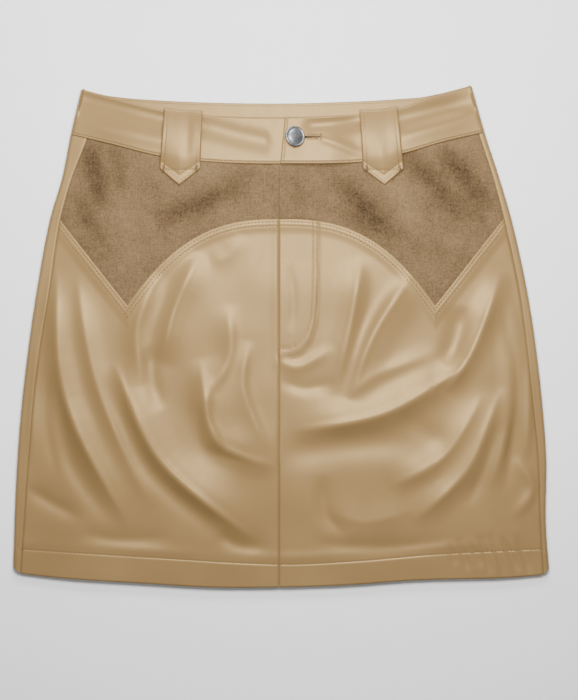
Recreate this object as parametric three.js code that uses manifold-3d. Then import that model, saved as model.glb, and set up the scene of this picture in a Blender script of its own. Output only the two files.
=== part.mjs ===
// A mini skirt in coated leather with suede hip yokes, laid flat on its back.
//
// The front lies on the back, waist towards +Y and hem towards -Y, with +Z up from the surface it
// rests on. The back is cut wider than the front, so its sides fold round and show as a strip beside
// each side seam. Every wall is worked out from the same surface: edge curves across the skirt, lines
// down its sides, and a height for the cloth that lies on top, which holds the soft folds.
// All lengths are in millimetres.

import * as THREE from "three";
import { mergeVertices } from "three/addons/utils/BufferGeometryUtils.js";
import Module from "manifold-3d";

const wasm = await Module();
wasm.setup();

// Cloth thicknesses, the gap between two sewn edges, and the clearance under what lies on a panel.
const LEATHER_WALL = 1.2;
const SUEDE_WALL = 1.2;
const BAND_WALL = 2.4;
const LOOP_WALL = 2.0;
const SEAM_GAP = 0.6;
const CLEARANCE = 0.4;

// Height of the front's upper face over the surface where the panels lie flat on each other.
const BODY_HEIGHT = 5.0;
const BAND_HEIGHT = 5.8;

// Turned edges and sewn depths.
const HEM_DEPTH = 20;
const HEM_WALL = 2.1;
const EDGE_LIFT = 0.9;
const EDGE_WIDTH = 5.5;
const EDGE_FADE = 3;

// The fly: its line, and the lapped facing on the side that lies on top.
const FLY_X = -1.6;
const FLY_WIDTH = 27;
const FLY_FADE = 4;
const FLY_LIFT = 1.0;
const FLY_END_Y = -15;
const FLY_END_FADE = 12;

// The lapped ends of the waistband.
const LAP_LENGTH = 34;
const LAP_SINK = 0.7;
const LAP_RISE = 2.0;
const LAP_FADE = 30;
const UNDER_LAP_FADE = 10;
const LAP_EDGE_AT_SEAM = -0.6;
const LAP_EDGE_AT_TOP = 3.0;
const LAP_SEAM_Y = 142;
const LAP_TOP_Y = 179;

// The yoke's lower line: an arch between two points, and a straight run from each point to the side.
const YOKE_POINT_X = 125.8;
const YOKE_POINT_Y = 25.4;
const ARCH_TOP_Y = 96;
const ARCH_POWER = 2.65;
const YOKE_SIDE_X = 181;
const YOKE_SIDE_Y = 95.5;

// The front swells gently between its sides, and its folds die out towards the sides and the hem.
const SWELL = 1.2;
const SWELL_START = 4;
const SWELL_INSET = 55;
const FOLD_START = 2;
const FOLD_INSET = 16;
const FOLD_HEM_START_Y = -206;
const FOLD_HEM_INSET_Y = -175;

// Fold lines and side seams down the skirt.
const SIDES = [
  { y: 206, leftFold: -162.8, leftSeam: -146, rightSeam: 149, rightFold: 155.6 },
  { y: 165, leftFold: -172.4, leftSeam: -157.5, rightSeam: 161.5, rightFold: 167.2 },
  { y: 130, leftFold: -179.4, leftSeam: -170.8, rightSeam: 172.9, rightFold: 178.6 },
  { y: 95, leftFold: -189.6, leftSeam: -180.8, rightSeam: 182.2, rightFold: 188.8 },
  { y: 45, leftFold: -199.0, leftSeam: -188.6, rightSeam: 193.2, rightFold: 200.0 },
  { y: 0, leftFold: -205.8, leftSeam: -195.9, rightSeam: 199.9, rightFold: 207.4 },
  { y: -50, leftFold: -211.9, leftSeam: -202.5, rightSeam: 205.4, rightFold: 213.3 },
  { y: -100, leftFold: -216.0, leftSeam: -206.8, rightSeam: 210.3, rightFold: 217.0 },
  { y: -150, leftFold: -218.3, leftSeam: -210.3, rightSeam: 212.0, rightFold: 216.6 },
  { y: -195, leftFold: -219.4, leftSeam: -213.4, rightSeam: 214.6, rightFold: 219.4 },
];

// Edges that run across the skirt.
const WAIST_EDGES = [
  { x: -166, frontTop: 203.2, backTop: 203.2 },
  { x: -140, frontTop: 195.9, backTop: 196.9 },
  { x: -98, frontTop: 185.5, backTop: 193.3 },
  { x: -55, frontTop: 180.4, backTop: 191.5 },
  { x: 0, frontTop: 179.2, backTop: 190.8 },
  { x: 60, frontTop: 181.4, backTop: 192.4 },
  { x: 96, frontTop: 186.6, backTop: 194.5 },
  { x: 120, frontTop: 195.2, backTop: 196.8 },
  { x: 158, frontTop: 206.0, backTop: 206.0 },
];
const BAND_SEAM = [
  { x: -174, front: 165.4, back: 165.4 },
  { x: -140, front: 157.3, back: 159.5 },
  { x: -99, front: 147.2, back: 157.0 },
  { x: -50, front: 141.9, back: 155.3 },
  { x: 0, front: 140.9, back: 154.8 },
  { x: 66, front: 142.3, back: 156.0 },
  { x: 100, front: 149.4, back: 157.9 },
  { x: 132, front: 158.8, back: 160.6 },
  { x: 169, front: 167.4, back: 167.4 },
];
const HEM_EDGE = [
  { x: -222, front: -186.5, back: -186.5 },
  { x: -211, front: -194.2, back: -193.4 },
  { x: -105, front: -202.4, back: -200.4 },
  { x: -44, front: -205.4, back: -203.0 },
  { x: 46, front: -203.6, back: -201.4 },
  { x: 108, front: -199.4, back: -197.6 },
  { x: 212, front: -195.2, back: -194.0 },
  { x: 222, front: -187.0, back: -187.0 },
];

// Soft folds in the front, from the viewer's left to right. The crest runs start, middle, end; the
// cloth falls away over "above" on the side towards the waist and over "below" on the other.
const FOLDS = [
  { x0: -184, y0: 60, x1: -176, y1: -52, x2: -120, y2: -162, height: 5.2, above: 13, below: 8 },
  { x0: -168, y0: 56, x1: -150, y1: -42, x2: -104, y2: -144, height: 2.8, above: 10, below: 8 },
  { x0: -138, y0: -18, x1: -98, y1: -102, x2: -16, y2: -170, height: 6.4, above: 18, below: 9 },
  { x0: -66, y0: -16, x1: -54, y1: -84, x2: 0, y2: -108, height: 4.6, above: 24, below: 10 },
  { x0: -66, y0: 70, x1: -88, y1: 20, x2: -97, y2: -24, height: 3.6, above: 12, below: 8 },
  { x0: -98, y0: 52, x1: -118, y1: 8, x2: -113, y2: -42, height: 2.8, above: 8, below: 9 },
  { x0: 4, y0: -78, x1: 84, y1: -63, x2: 154, y2: -22, height: 6.4, above: 20, below: 10 },
  { x0: 134, y0: -46, x1: 158, y1: -8, x2: 182, y2: 56, height: 5.0, above: 11, below: 8 },
  { x0: 56, y0: -52, x1: 76, y1: 2, x2: 110, y2: 54, height: 4.2, above: 8, below: 15 },
  { x0: 42, y0: -50, x1: 57, y1: 12, x2: 66, y2: 66, height: 3.6, above: 12, below: 8 },
  { x0: 104, y0: -154, x1: 152, y1: -108, x2: 181, y2: -40, height: 4.8, above: 13, below: 9 },
  { x0: 86, y0: -124, x1: 133, y1: -98, x2: 166, y2: -44, height: 3.2, above: 12, below: 8 },
  { x0: 170, y0: -126, x1: 189, y1: -54, x2: 184, y2: 32, height: 3.8, above: 8, below: 8 },
];
const CREST_STEPS = 14;

// Belt loops: the middle of each, its lean, and how far it stands off the band between its ends.
const LOOPS = [
  { name: "belt_loop_left", topX: -80, footX: -83.5 },
  { name: "belt_loop_right", topX: 79.5, footX: 84.5 },
];
const LOOP_HALF_WIDTH = 15.5;
const LOOP_FLARE = 1.5;
const LOOP_POINT_Y = 123.5;
const LOOP_POINT_RISE = 13.5;
const LOOP_STAND = 2.2;
const LOOP_SEWN_FROM = 0.86;

// A loop's fold over the band's upper edge, from its foot: how far each face lies past the edge, and
// how far over the band's face. The straight run down the band starts short of the edge.
const LOOP_FOLD = [
  { outerPast: 2.6, innerPast: 0.6, outerUp: -2.6, innerUp: -2.6 },
  { outerPast: 2.6, innerPast: 0.6, outerUp: 0.8, innerUp: 0 },
  { outerPast: 1.2, innerPast: -0.3, outerUp: LOOP_WALL, innerUp: 0 },
];
const LOOP_RUN_START = 1.8;

// The button: a domed cap on a post that comes up through an eyelet buttonhole.
const BUTTON_X = 11.4;
const BUTTON_Y = 162.8;
const BUTTON_RADIUS = 8.6;
const BUTTON_RIM = 1.9;
const BUTTON_DOME = 1.0;
const BUTTON_TILT = 0.45;
const BUTTON_TILT_HEADING = 0.3;
const BUTTON_CENTRE_Z = 13.5;
const POST_RADIUS = 2.0;
const EYELET_RADIUS = 2.7;
const SLIT_WIDTH = 1.6;
const SLIT_LENGTH = 21;

const mix = THREE.MathUtils.lerp;
const ease = THREE.MathUtils.smoothstep;

// A smooth curve through one column of a table, read at any value of its key column.
function smooth(rows, key, column) {
  const sorted = [...rows].sort((a, b) => a[key] - b[key]);
  const slope = (i) => {
    const a = sorted[Math.max(i - 1, 0)];
    const b = sorted[Math.min(i + 1, sorted.length - 1)];
    return (b[column] - a[column]) / (b[key] - a[key]);
  };
  return (at) => {
    let i = sorted.findIndex((row) => row[key] > at) - 1;
    if (i < 0) i = at < sorted[0][key] ? 0 : sorted.length - 2;
    const [a, b] = [sorted[i], sorted[i + 1]];
    const span = b[key] - a[key];
    const t = (at - a[key]) / span;
    const [t2, t3] = [t * t, t * t * t];
    return (
      a[column] * (2 * t3 - 3 * t2 + 1) +
      slope(i) * span * (t3 - 2 * t2 + t) +
      b[column] * (3 * t2 - 2 * t3) +
      slope(i + 1) * span * (t3 - t2)
    );
  };
}

const leftFold = smooth(SIDES, "y", "leftFold");
const rightFold = smooth(SIDES, "y", "rightFold");
const leftSeam = smooth(SIDES, "y", "leftSeam");
const rightSeam = smooth(SIDES, "y", "rightSeam");
const frontTop = smooth(WAIST_EDGES, "x", "frontTop");
const backTop = smooth(WAIST_EDGES, "x", "backTop");
const frontBandSeam = smooth(BAND_SEAM, "x", "front");
const backBandSeam = smooth(BAND_SEAM, "x", "back");
const frontHem = smooth(HEM_EDGE, "x", "front");
const backHem = smooth(HEM_EDGE, "x", "back");

// The lower line of the suede yokes.
function yokeLine(x) {
  const reach = Math.abs(x);
  if (reach < YOKE_POINT_X) {
    return ARCH_TOP_Y - (ARCH_TOP_Y - YOKE_POINT_Y) * (reach / YOKE_POINT_X) ** ARCH_POWER;
  }
  const out = (reach - YOKE_POINT_X) / (YOKE_SIDE_X - YOKE_POINT_X);
  return mix(YOKE_POINT_Y, YOKE_SIDE_Y, out);
}

// How far a piece keeps from the yoke's line, up or down, so that the gap across it is even.
function yokeKeep(x) {
  const step = 0.05;
  const before = Math.abs(yokeLine(x) - yokeLine(x - step));
  const after = Math.abs(yokeLine(x + step) - yokeLine(x));
  return (SEAM_GAP / 2) * Math.hypot(1, Math.max(before, after) / step);
}

// Each fold's crest as a run of points, once, so that heights are quick to read.
const crests = FOLDS.map((fold) => {
  const curve = new THREE.SplineCurve([
    new THREE.Vector2(fold.x0, fold.y0),
    new THREE.Vector2(fold.x1, fold.y1),
    new THREE.Vector2(fold.x2, fold.y2),
  ]);
  return { fold, points: curve.getPoints(CREST_STEPS) };
});

// How far one fold lifts the cloth at a point.
function foldHeight({ fold, points }, x, y) {
  let nearest = { distance: Infinity, along: 0, side: 1 };
  for (let i = 0; i < CREST_STEPS; i++) {
    const [a, b] = [points[i], points[i + 1]];
    const [dx, dy] = [b.x - a.x, b.y - a.y];
    const t = THREE.MathUtils.clamp(((x - a.x) * dx + (y - a.y) * dy) / (dx * dx + dy * dy), 0, 1);
    const distance = Math.hypot(x - a.x - dx * t, y - a.y - dy * t);
    if (distance < nearest.distance) {
      const side = dx * (y - a.y) - dy * (x - a.x);
      nearest = { distance, along: (i + t) / CREST_STEPS, side };
    }
  }
  const spread = nearest.side > 0 ? fold.above : fold.below;
  const taper = Math.sin(Math.PI * nearest.along) ** 0.8;
  return fold.height * taper * Math.exp(-((nearest.distance / spread) ** 2));
}

// How far the cloth on top lies above its flat height, at a point of the front.
function rise(x, y) {
  const inset = Math.min(x - leftFold(y), rightFold(y) - x);
  const folds = crests.reduce((sum, crest) => sum + foldHeight(crest, x, y), 0);
  const clearOfSides = ease(inset, FOLD_START, FOLD_INSET);
  const clearOfHem = ease(y, FOLD_HEM_START_Y, FOLD_HEM_INSET_Y);
  return SWELL * ease(inset, SWELL_START, SWELL_INSET) + folds * clearOfSides * clearOfHem;
}

// The direction out of the front's upper face.
function frontNormal(x, y) {
  const step = 0.5;
  const slopeX = (rise(x + step, y) - rise(x - step, y)) / (2 * step);
  const slopeY = (rise(x, y + step) - rise(x, y - step)) / (2 * step);
  return new THREE.Vector3(-slopeX, -slopeY, 1).normalize();
}

// Where a line down the skirt meets the share v of the way from one edge curve to another.
function settle(lineX, upper, lower, v) {
  let y = mix(upper(0), lower(0), v);
  let x = lineX(y);
  for (let i = 0; i < 30; i++) {
    y = mix(y, mix(upper(x), lower(x), v), 0.6);
    x = lineX(y);
  }
  return { x, y };
}

// A column of wall on top of the skirt: a line down it, at a flat height.
const onTop = (lineX, height, lift = () => 0) => ({
  face: "front",
  place(upper, lower, v) {
    const { x, y } = settle(lineX, upper, lower, v);
    const base = new THREE.Vector3(x, y, height + rise(x, y));
    return { base, lift: lift(x, y), normal: frontNormal(x, y) };
  },
});

// A column under the skirt, flat on the surface it rests on.
const underneath = (lineX) => ({
  face: "back",
  place(upper, lower, v) {
    const { x, y } = settle(lineX, upper, lower, v);
    return { base: new THREE.Vector3(x, y, 0), lift: 0, normal: new THREE.Vector3(0, 0, -1) };
  },
});

// A column on the rounded fold at a side. turn is 0 on top and pi underneath.
const onFold = (fold, outward, height, turn) => {
  const radius = height / 2;
  return {
    face: turn <= Math.PI / 2 ? "front" : "back",
    place(upper, lower, v) {
      const lineX = (y) => fold(y) + outward * radius * (Math.sin(turn) - 1);
      const { x, y } = settle(lineX, upper, lower, v);
      const base = new THREE.Vector3(x, y, radius * (1 + Math.cos(turn)));
      const normal = new THREE.Vector3(outward * Math.sin(turn), 0, Math.cos(turn));
      return { base, lift: 0, normal };
    },
  };
};

// A closed wall between two grids of points of the same size.
function wallGeometry(outer, inner) {
  const [columns, rows] = [outer.length, outer[0].length];
  const positions = [...outer, ...inner].flatMap((column) => column.flatMap((p) => p.toArray()));
  const at = (layer, i, j) => (layer * columns + i) * rows + j;
  const faces = [];
  const quad = (a, b, c, d) => faces.push(a, b, c, a, c, d);
  for (let i = 0; i + 1 < columns; i++) {
    for (let j = 0; j + 1 < rows; j++) {
      quad(at(0, i, j), at(0, i, j + 1), at(0, i + 1, j + 1), at(0, i + 1, j));
      quad(at(1, i, j), at(1, i + 1, j), at(1, i + 1, j + 1), at(1, i, j + 1));
    }
    quad(at(0, i, 0), at(0, i + 1, 0), at(1, i + 1, 0), at(1, i, 0));
    quad(at(0, i + 1, rows - 1), at(0, i, rows - 1), at(1, i, rows - 1), at(1, i + 1, rows - 1));
  }
  const last = columns - 1;
  for (let j = 0; j + 1 < rows; j++) {
    quad(at(0, 0, j + 1), at(0, 0, j), at(1, 0, j), at(1, 0, j + 1));
    quad(at(0, last, j), at(0, last, j + 1), at(1, last, j + 1), at(1, last, j));
  }
  const geometry = new THREE.BufferGeometry();
  geometry.setAttribute("position", new THREE.Float32BufferAttribute(positions, 3));
  geometry.setIndex(faces);
  return facingOut(geometry);
}

// Turns every face round where a closed shape has come out inside out.
function facingOut(geometry) {
  const index = geometry.index.array;
  const position = geometry.attributes.position;
  const [a, b, c] = [new THREE.Vector3(), new THREE.Vector3(), new THREE.Vector3()];
  let volume = 0;
  for (let i = 0; i < index.length; i += 3) {
    a.fromBufferAttribute(position, index[i]);
    b.fromBufferAttribute(position, index[i + 1]);
    c.fromBufferAttribute(position, index[i + 2]);
    volume += a.dot(b.cross(c));
  }
  if (volume < 0) {
    for (let i = 0; i < index.length; i += 3) {
      [index[i + 1], index[i + 2]] = [index[i + 2], index[i + 1]];
    }
  }
  return geometry;
}

// A wall of cloth from its columns, the edges that it runs between, and its rows from 0 to 1.
function clothWall(columns, edges, rows, thickness) {
  const outer = [];
  const inner = [];
  for (const column of columns) {
    const { upper, lower } = edges[column.face];
    const placed = rows.map((v) => ({ v, ...column.place(upper, lower, v) }));
    outer.push(placed.map((p) => p.base.clone().addScaledVector(p.normal, p.lift)));
    inner.push(placed.map((p) => p.base.clone().addScaledVector(p.normal, -thickness(p.v, p.base))));
  }
  return wallGeometry(outer, inner);
}

// Even shares from one value to another, ends included.
const spaced = (from, to, count) => Array.from({ length: count + 1 }, (_, i) => mix(from, to, i / count));

// The height that a turned edge or the fly facing adds to a front piece.
function edgeLift(x, y) {
  const belowYoke = Math.abs(yokeLine(x) - y) * Math.SQRT1_2;
  return EDGE_LIFT * (1 - ease(belowYoke, EDGE_WIDTH, EDGE_WIDTH + EDGE_FADE));
}
function flyLift(x, y) {
  const across = 1 - ease(x - FLY_X, FLY_WIDTH, FLY_WIDTH + FLY_FADE);
  return FLY_LIFT * across * ease(y, FLY_END_Y - FLY_END_FADE, FLY_END_Y);
}

// Shares across a front half at which its columns lie, from the fly to the side seam, with one on
// the yoke's point. They are closer at the fly's facing.
const pointShare = (seam) => (YOKE_POINT_X + FLY_X) / (Math.abs(seam(YOKE_POINT_Y)) + FLY_X);
const halfShares = (seam) => [
  0,
  0.06,
  0.125,
  0.15,
  ...spaced(0.15, pointShare(seam), 12).slice(1),
  ...spaced(pointShare(seam), 1, 9).slice(1),
];

// One half of the front: its columns from the fly line to the side seam.
function halfColumns(seam, outward, lift) {
  const gap = SEAM_GAP / 2;
  return halfShares(seam).map((share) =>
    onTop((y) => mix(FLY_X + outward * gap, seam(y) - outward * gap, share), BODY_HEIGHT, lift),
  );
}

const hemStart = (x) => frontHem(x) + HEM_DEPTH;
const hemShare = HEM_DEPTH / (YOKE_POINT_Y - frontHem(YOKE_POINT_X));
const leatherRows = [0, 0.022, 0.036, ...spaced(0.07, 1 - hemShare, 22), 1 - hemShare + 0.004, 0.96, 1];

function hemThickness(v, base) {
  return base.y < hemStart(base.x) ? HEM_WALL : LEATHER_WALL;
}

// The lower front in leather, from the yoke's line to the hem, with its edge turned over the suede.
function frontLeather(seam, outward) {
  const lift = (x, y) => edgeLift(x, y) + (outward > 0 ? flyLift(x, y) : 0);
  const columns = halfColumns(seam, outward, lift);
  const edges = { front: { upper: (x) => yokeLine(x) - yokeKeep(x), lower: frontHem } };
  return clothWall(columns, edges, leatherRows, hemThickness);
}

// A suede hip yoke, from the waistband to the yoke's line.
function yoke(seam, outward) {
  const columns = halfColumns(seam, outward, outward > 0 ? flyLift : undefined);
  const upper = (x) => frontBandSeam(x) - SEAM_GAP / 2;
  const edges = { front: { upper, lower: (x) => yokeLine(x) + yokeKeep(x) } };
  return clothWall(columns, edges, spaced(0, 1, 9), () => SUEDE_WALL);
}

const foldTurns = spaced(0, Math.PI, 6);
const ARC_TURNS = foldTurns.slice(1, -1);

// The back, one piece from side seam to side seam, folded round both sides onto the front.
function back() {
  const radius = BODY_HEIGHT / 2;
  const gap = SEAM_GAP / 2;
  const leftStrip = [0, 1].map((share) =>
    onTop((y) => mix(leftSeam(y) - gap, leftFold(y) + radius, share), BODY_HEIGHT),
  );
  const rightStrip = [1, 0].map((share) =>
    onTop((y) => mix(rightSeam(y) + gap, rightFold(y) - radius, share), BODY_HEIGHT),
  );
  const bottom = spaced(0, 1, 12).map((share) =>
    underneath((y) => mix(leftFold(y) + radius, rightFold(y) - radius, share)),
  );
  const columns = [
    ...leftStrip,
    ...ARC_TURNS.map((turn) => onFold(leftFold, -1, BODY_HEIGHT, turn)),
    ...bottom,
    ...ARC_TURNS.toReversed().map((turn) => onFold(rightFold, 1, BODY_HEIGHT, turn)),
    ...rightStrip,
  ];
  const edges = {
    front: { upper: (x) => frontBandSeam(x) - SEAM_GAP / 2, lower: frontHem },
    back: { upper: (x) => backBandSeam(x) - SEAM_GAP / 2, lower: backHem },
  };
  const hemRow = 1 - HEM_DEPTH / (frontBandSeam(0) - frontHem(0));
  const rows = [...spaced(0, hemRow, 16), hemRow + 0.004, 0.98, 1];
  return clothWall(columns, edges, rows, (v) => (v > hemRow + 0.002 ? HEM_WALL : LEATHER_WALL));
}

// How far the band's ends part where one laps the other.
const lapShare = (y) => (y - LAP_SEAM_Y) / (LAP_TOP_Y - LAP_SEAM_Y);
const lapEdge = (y) => mix(LAP_EDGE_AT_SEAM, LAP_EDGE_AT_TOP, lapShare(y));
const underLapLift = (x) => -LAP_SINK * ease(x, FLY_X - UNDER_LAP_FADE, FLY_X);
const overLapLift = (x) => LAP_RISE * (1 - ease(x, LAP_LENGTH + 4, LAP_LENGTH + LAP_FADE));

// The waistband, one piece: its under end, round the left side, the back, the right side, and its
// upper end, which laps the under one and is cut by the eyelet buttonhole.
function waistband() {
  const radius = BAND_HEIGHT / 2;
  const topRun = (from, to, count, lapLift) =>
    spaced(0, 1, count).map((share) => {
      const column = onTop((y) => mix(from(y), to(y), share), BAND_HEIGHT);
      const placed = (...edges) => {
        const point = column.place(...edges);
        point.base.z += lapLift(point.base.x);
        return point;
      };
      return { face: column.face, place: placed };
    });
  const foldStart = (y) => leftFold(y) + radius;
  const foldEnd = (y) => rightFold(y) - radius;
  const columns = [
    ...topRun(() => FLY_X + LAP_LENGTH, () => FLY_X, 4, underLapLift).slice(0, -1),
    ...topRun(() => FLY_X, foldStart, 18, underLapLift),
    ...ARC_TURNS.map((turn) => onFold(leftFold, -1, BAND_HEIGHT, turn)),
    ...spaced(0, 1, 14).map((share) => underneath((y) => mix(foldStart(y), foldEnd(y), share))),
    ...ARC_TURNS.toReversed().map((turn) => onFold(rightFold, 1, BAND_HEIGHT, turn)),
    ...topRun(foldEnd, () => LAP_LENGTH, 14, overLapLift),
    ...topRun(() => LAP_LENGTH, lapEdge, 4, overLapLift).slice(1),
  ];
  const edges = {
    front: { upper: frontTop, lower: (x) => frontBandSeam(x) + SEAM_GAP / 2 },
    back: { upper: backTop, lower: (x) => backBandSeam(x) + SEAM_GAP / 2 },
  };
  const band = clothWall(columns, edges, spaced(0, 1, 4), () => BAND_WALL);
  return cut(band, buttonholeCutter());
}

// A closed geometry as a solid, and back.
function solidOf(geometry) {
  const bare = new THREE.BufferGeometry();
  bare.setAttribute("position", geometry.attributes.position);
  bare.setIndex(geometry.index);
  const merged = mergeVertices(bare);
  return new wasm.Manifold(
    new wasm.Mesh({
      numProp: 3,
      vertProperties: merged.attributes.position.array,
      triVerts: new Uint32Array(merged.index.array),
    }),
  );
}
function geometryOf(solid) {
  const mesh = solid.getMesh();
  const geometry = new THREE.BufferGeometry();
  geometry.setAttribute("position", new THREE.BufferAttribute(mesh.vertProperties, 3));
  geometry.setIndex(new THREE.BufferAttribute(mesh.triVerts, 1));
  return geometry;
}
const cut = (geometry, tool) => geometryOf(solidOf(geometry).subtract(solidOf(tool)));

// The keyhole shape that goes through the upper end alone: an eyelet for the post and its slit.
function buttonholeCutter() {
  const slitStart = Math.asin(SLIT_WIDTH / 2 / EYELET_RADIUS);
  const outline = new THREE.Shape();
  outline.moveTo(EYELET_RADIUS * Math.cos(slitStart), SLIT_WIDTH / 2);
  outline.absarc(0, 0, EYELET_RADIUS, slitStart, 2 * Math.PI - slitStart, false);
  outline.lineTo(SLIT_LENGTH, -SLIT_WIDTH / 2);
  outline.lineTo(SLIT_LENGTH, SLIT_WIDTH / 2);
  const depth = LAP_RISE + BAND_WALL + SWELL;
  const geometry = new THREE.ExtrudeGeometry(outline, { depth, bevelEnabled: false, curveSegments: 10 });
  const underLapTop = BAND_HEIGHT + SWELL - LAP_SINK;
  geometry.translate(BUTTON_X, BUTTON_Y, underLapTop + CLEARANCE / 2);
  return indexed(geometry);
}

function indexed(geometry) {
  const bare = new THREE.BufferGeometry();
  bare.setAttribute("position", geometry.attributes.position);
  if (geometry.index) bare.setIndex(geometry.index);
  return mergeVertices(bare, 1e-3);
}

// The button: a tilted cap with a rolled rim, and an upright post that stands on the under lap.
function button() {
  const back = -BUTTON_RIM / 2;
  const front = BUTTON_RIM / 2;
  const profile = [
    [0, back],
    [BUTTON_RADIUS - 1.4, back],
    [BUTTON_RADIUS - 0.4, back + 0.3],
    [BUTTON_RADIUS, 0],
    [BUTTON_RADIUS - 0.5, front - 0.2],
    [BUTTON_RADIUS - 1.6, front],
    [BUTTON_RADIUS * 0.6, front + BUTTON_DOME * 0.7],
    [BUTTON_RADIUS * 0.3, front + BUTTON_DOME * 0.93],
    [0, front + BUTTON_DOME],
  ].map(([r, z]) => new THREE.Vector2(r, z));
  const cap = new THREE.LatheGeometry(profile, 28);
  cap.rotateX(Math.PI / 2);
  const axis = new THREE.Vector3(-Math.sin(BUTTON_TILT_HEADING), Math.cos(BUTTON_TILT_HEADING), 0);
  cap.applyMatrix4(new THREE.Matrix4().makeRotationAxis(axis, BUTTON_TILT));
  cap.translate(BUTTON_X, BUTTON_Y, BUTTON_CENTRE_Z);
  const postFoot = BAND_HEIGHT + rise(BUTTON_X, BUTTON_Y) - LAP_SINK + CLEARANCE;
  const post = new THREE.CylinderGeometry(POST_RADIUS, POST_RADIUS, BUTTON_CENTRE_Z - postFoot, 12);
  post.rotateX(Math.PI / 2);
  post.translate(BUTTON_X, BUTTON_Y, (BUTTON_CENTRE_Z + postFoot) / 2);
  return geometryOf(solidOf(indexed(cap)).add(solidOf(indexed(post))));
}

// A belt loop: over the band's upper edge, down its face and onto the suede in a sewn point.
function beltLoop(loop) {
  const lines = spaced(-1, 1, 6).map((share) => loopLine(share, loop));
  return wallGeometry(
    lines.map((line) => line.map((p) => new THREE.Vector3(...p.outer))),
    lines.map((line) => line.map((p) => new THREE.Vector3(...p.inner))),
  );
}

// One line down a loop, at a share of its half width, as pairs of points on its two faces.
function loopLine(share, { topX, footX }) {
  const topY = frontTop(topX);
  const xAt = (y) => {
    const down = (topY - y) / (topY - LOOP_POINT_Y);
    return mix(topX, footX, down) + share * (LOOP_HALF_WIDTH + LOOP_FLARE * Math.max(down, 0));
  };
  const edgeX = xAt(topY);
  const edgeY = Math.max(frontTop(edgeX), topY);
  const bandFace = BAND_HEIGHT + rise(edgeX, topY) + CLEARANCE;
  const fold = LOOP_FOLD.map((row) => ({
    outer: [edgeX, edgeY + row.outerPast, bandFace + row.outerUp],
    inner: [edgeX, edgeY + row.innerPast, bandFace + row.innerUp],
  }));
  const pointY = LOOP_POINT_Y + LOOP_POINT_RISE * Math.abs(share);
  const run = spaced(0, 1, 12).map((v) => {
    const y = mix(edgeY - LOOP_RUN_START, pointY, v);
    const x = xAt(y);
    const onBand = ease(y, frontBandSeam(x) - 3, frontBandSeam(x) + 1);
    const face = mix(BODY_HEIGHT, BAND_HEIGHT, onBand) + rise(x, y) + CLEARANCE;
    const arch = Math.sin(Math.PI * Math.min(v / LOOP_SEWN_FROM, 1));
    const inner = face + LOOP_STAND * arch ** 0.8;
    return { outer: [x, y, inner + LOOP_WALL], inner: [x, y, inner] };
  });
  return [...fold, ...run];
}

// Finishes.
const leather = new THREE.MeshStandardMaterial({ color: "#b89d76", roughness: 0.45, metalness: 0 });
const suede = new THREE.MeshStandardMaterial({ color: "#9a805f", roughness: 0.95, metalness: 0 });
const metal = new THREE.MeshStandardMaterial({ color: "#8c8b8a", roughness: 0.35, metalness: 0.9 });

function named(name, geometry, material) {
  const mesh = new THREE.Mesh(geometry, material);
  mesh.name = name;
  return mesh;
}

const skirt = new THREE.Group();
skirt.add(
  named("back", back(), leather),
  named("front_left", frontLeather(leftSeam, -1), leather),
  named("front_right", frontLeather(rightSeam, 1), leather),
  named("yoke_left", yoke(leftSeam, -1), suede),
  named("yoke_right", yoke(rightSeam, 1), suede),
  named("waistband", waistband(), leather),
  ...LOOPS.map((loop) => named(loop.name, beltLoop(loop), leather)),
  named("button", button(), metal),
);

export default skirt;
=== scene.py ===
"""A mini skirt in coated leather with suede hip yokes, laid flat on its back.

Every cloth piece is a thin shell on one shared form: edge curves across the skirt, seam and fold
lines down its sides, and a height for the cloth on top, which holds the folds. Sizes are in
millimetres until a mesh is made, and the row frame is +X to the viewer's right, +Y to the waist.
"""

import logging
import math
from dataclasses import dataclass, field
from enum import Enum
from typing import Any, Callable, Iterable, Sequence

import bpy
import numpy as np
from mathutils import Matrix, Vector


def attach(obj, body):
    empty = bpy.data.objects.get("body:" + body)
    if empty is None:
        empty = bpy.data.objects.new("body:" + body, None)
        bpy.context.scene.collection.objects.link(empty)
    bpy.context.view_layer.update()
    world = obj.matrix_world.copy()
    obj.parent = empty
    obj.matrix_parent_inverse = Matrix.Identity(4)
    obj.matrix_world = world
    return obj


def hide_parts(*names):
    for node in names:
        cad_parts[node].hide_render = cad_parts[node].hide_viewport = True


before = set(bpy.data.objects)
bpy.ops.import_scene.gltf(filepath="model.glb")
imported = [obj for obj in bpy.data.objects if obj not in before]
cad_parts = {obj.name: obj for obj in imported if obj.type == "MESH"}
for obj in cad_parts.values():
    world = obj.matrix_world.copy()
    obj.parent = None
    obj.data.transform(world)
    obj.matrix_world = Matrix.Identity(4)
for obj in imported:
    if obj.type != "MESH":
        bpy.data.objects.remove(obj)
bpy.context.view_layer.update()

log = logging.getLogger("skirt")

Array = np.ndarray
Line = Callable[[Array], Array]
Point = tuple[float, float]

MM = 0.001
SEED = 7


class Half(Enum):
    """The halves of the front, as the viewer sees them, with the sign of x on each."""

    LEFT = -1
    RIGHT = 1


class Hold(Enum):
    """How a sheet of cloth is held."""

    LAID = "laid"
    FOLDED = "folded"


def ease(value: Array, start: float, end: float) -> Array:
    """Runs smoothly from 0 at start to 1 at end; start may be the larger.

    Args:
        value: Where it is read.
        start: Where it leaves 0.
        end: Where it reaches 1.

    Returns:
        The share at each value.
    """
    t = np.clip((np.asarray(value, float) - start) / (end - start), 0.0, 1.0)
    return t * t * (3.0 - 2.0 * t)


def bump(distance: Array, width: float) -> Array:
    """Returns a soft hump of height 1 at distance 0."""
    return np.exp(-np.square(np.asarray(distance, float) / width))


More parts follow.
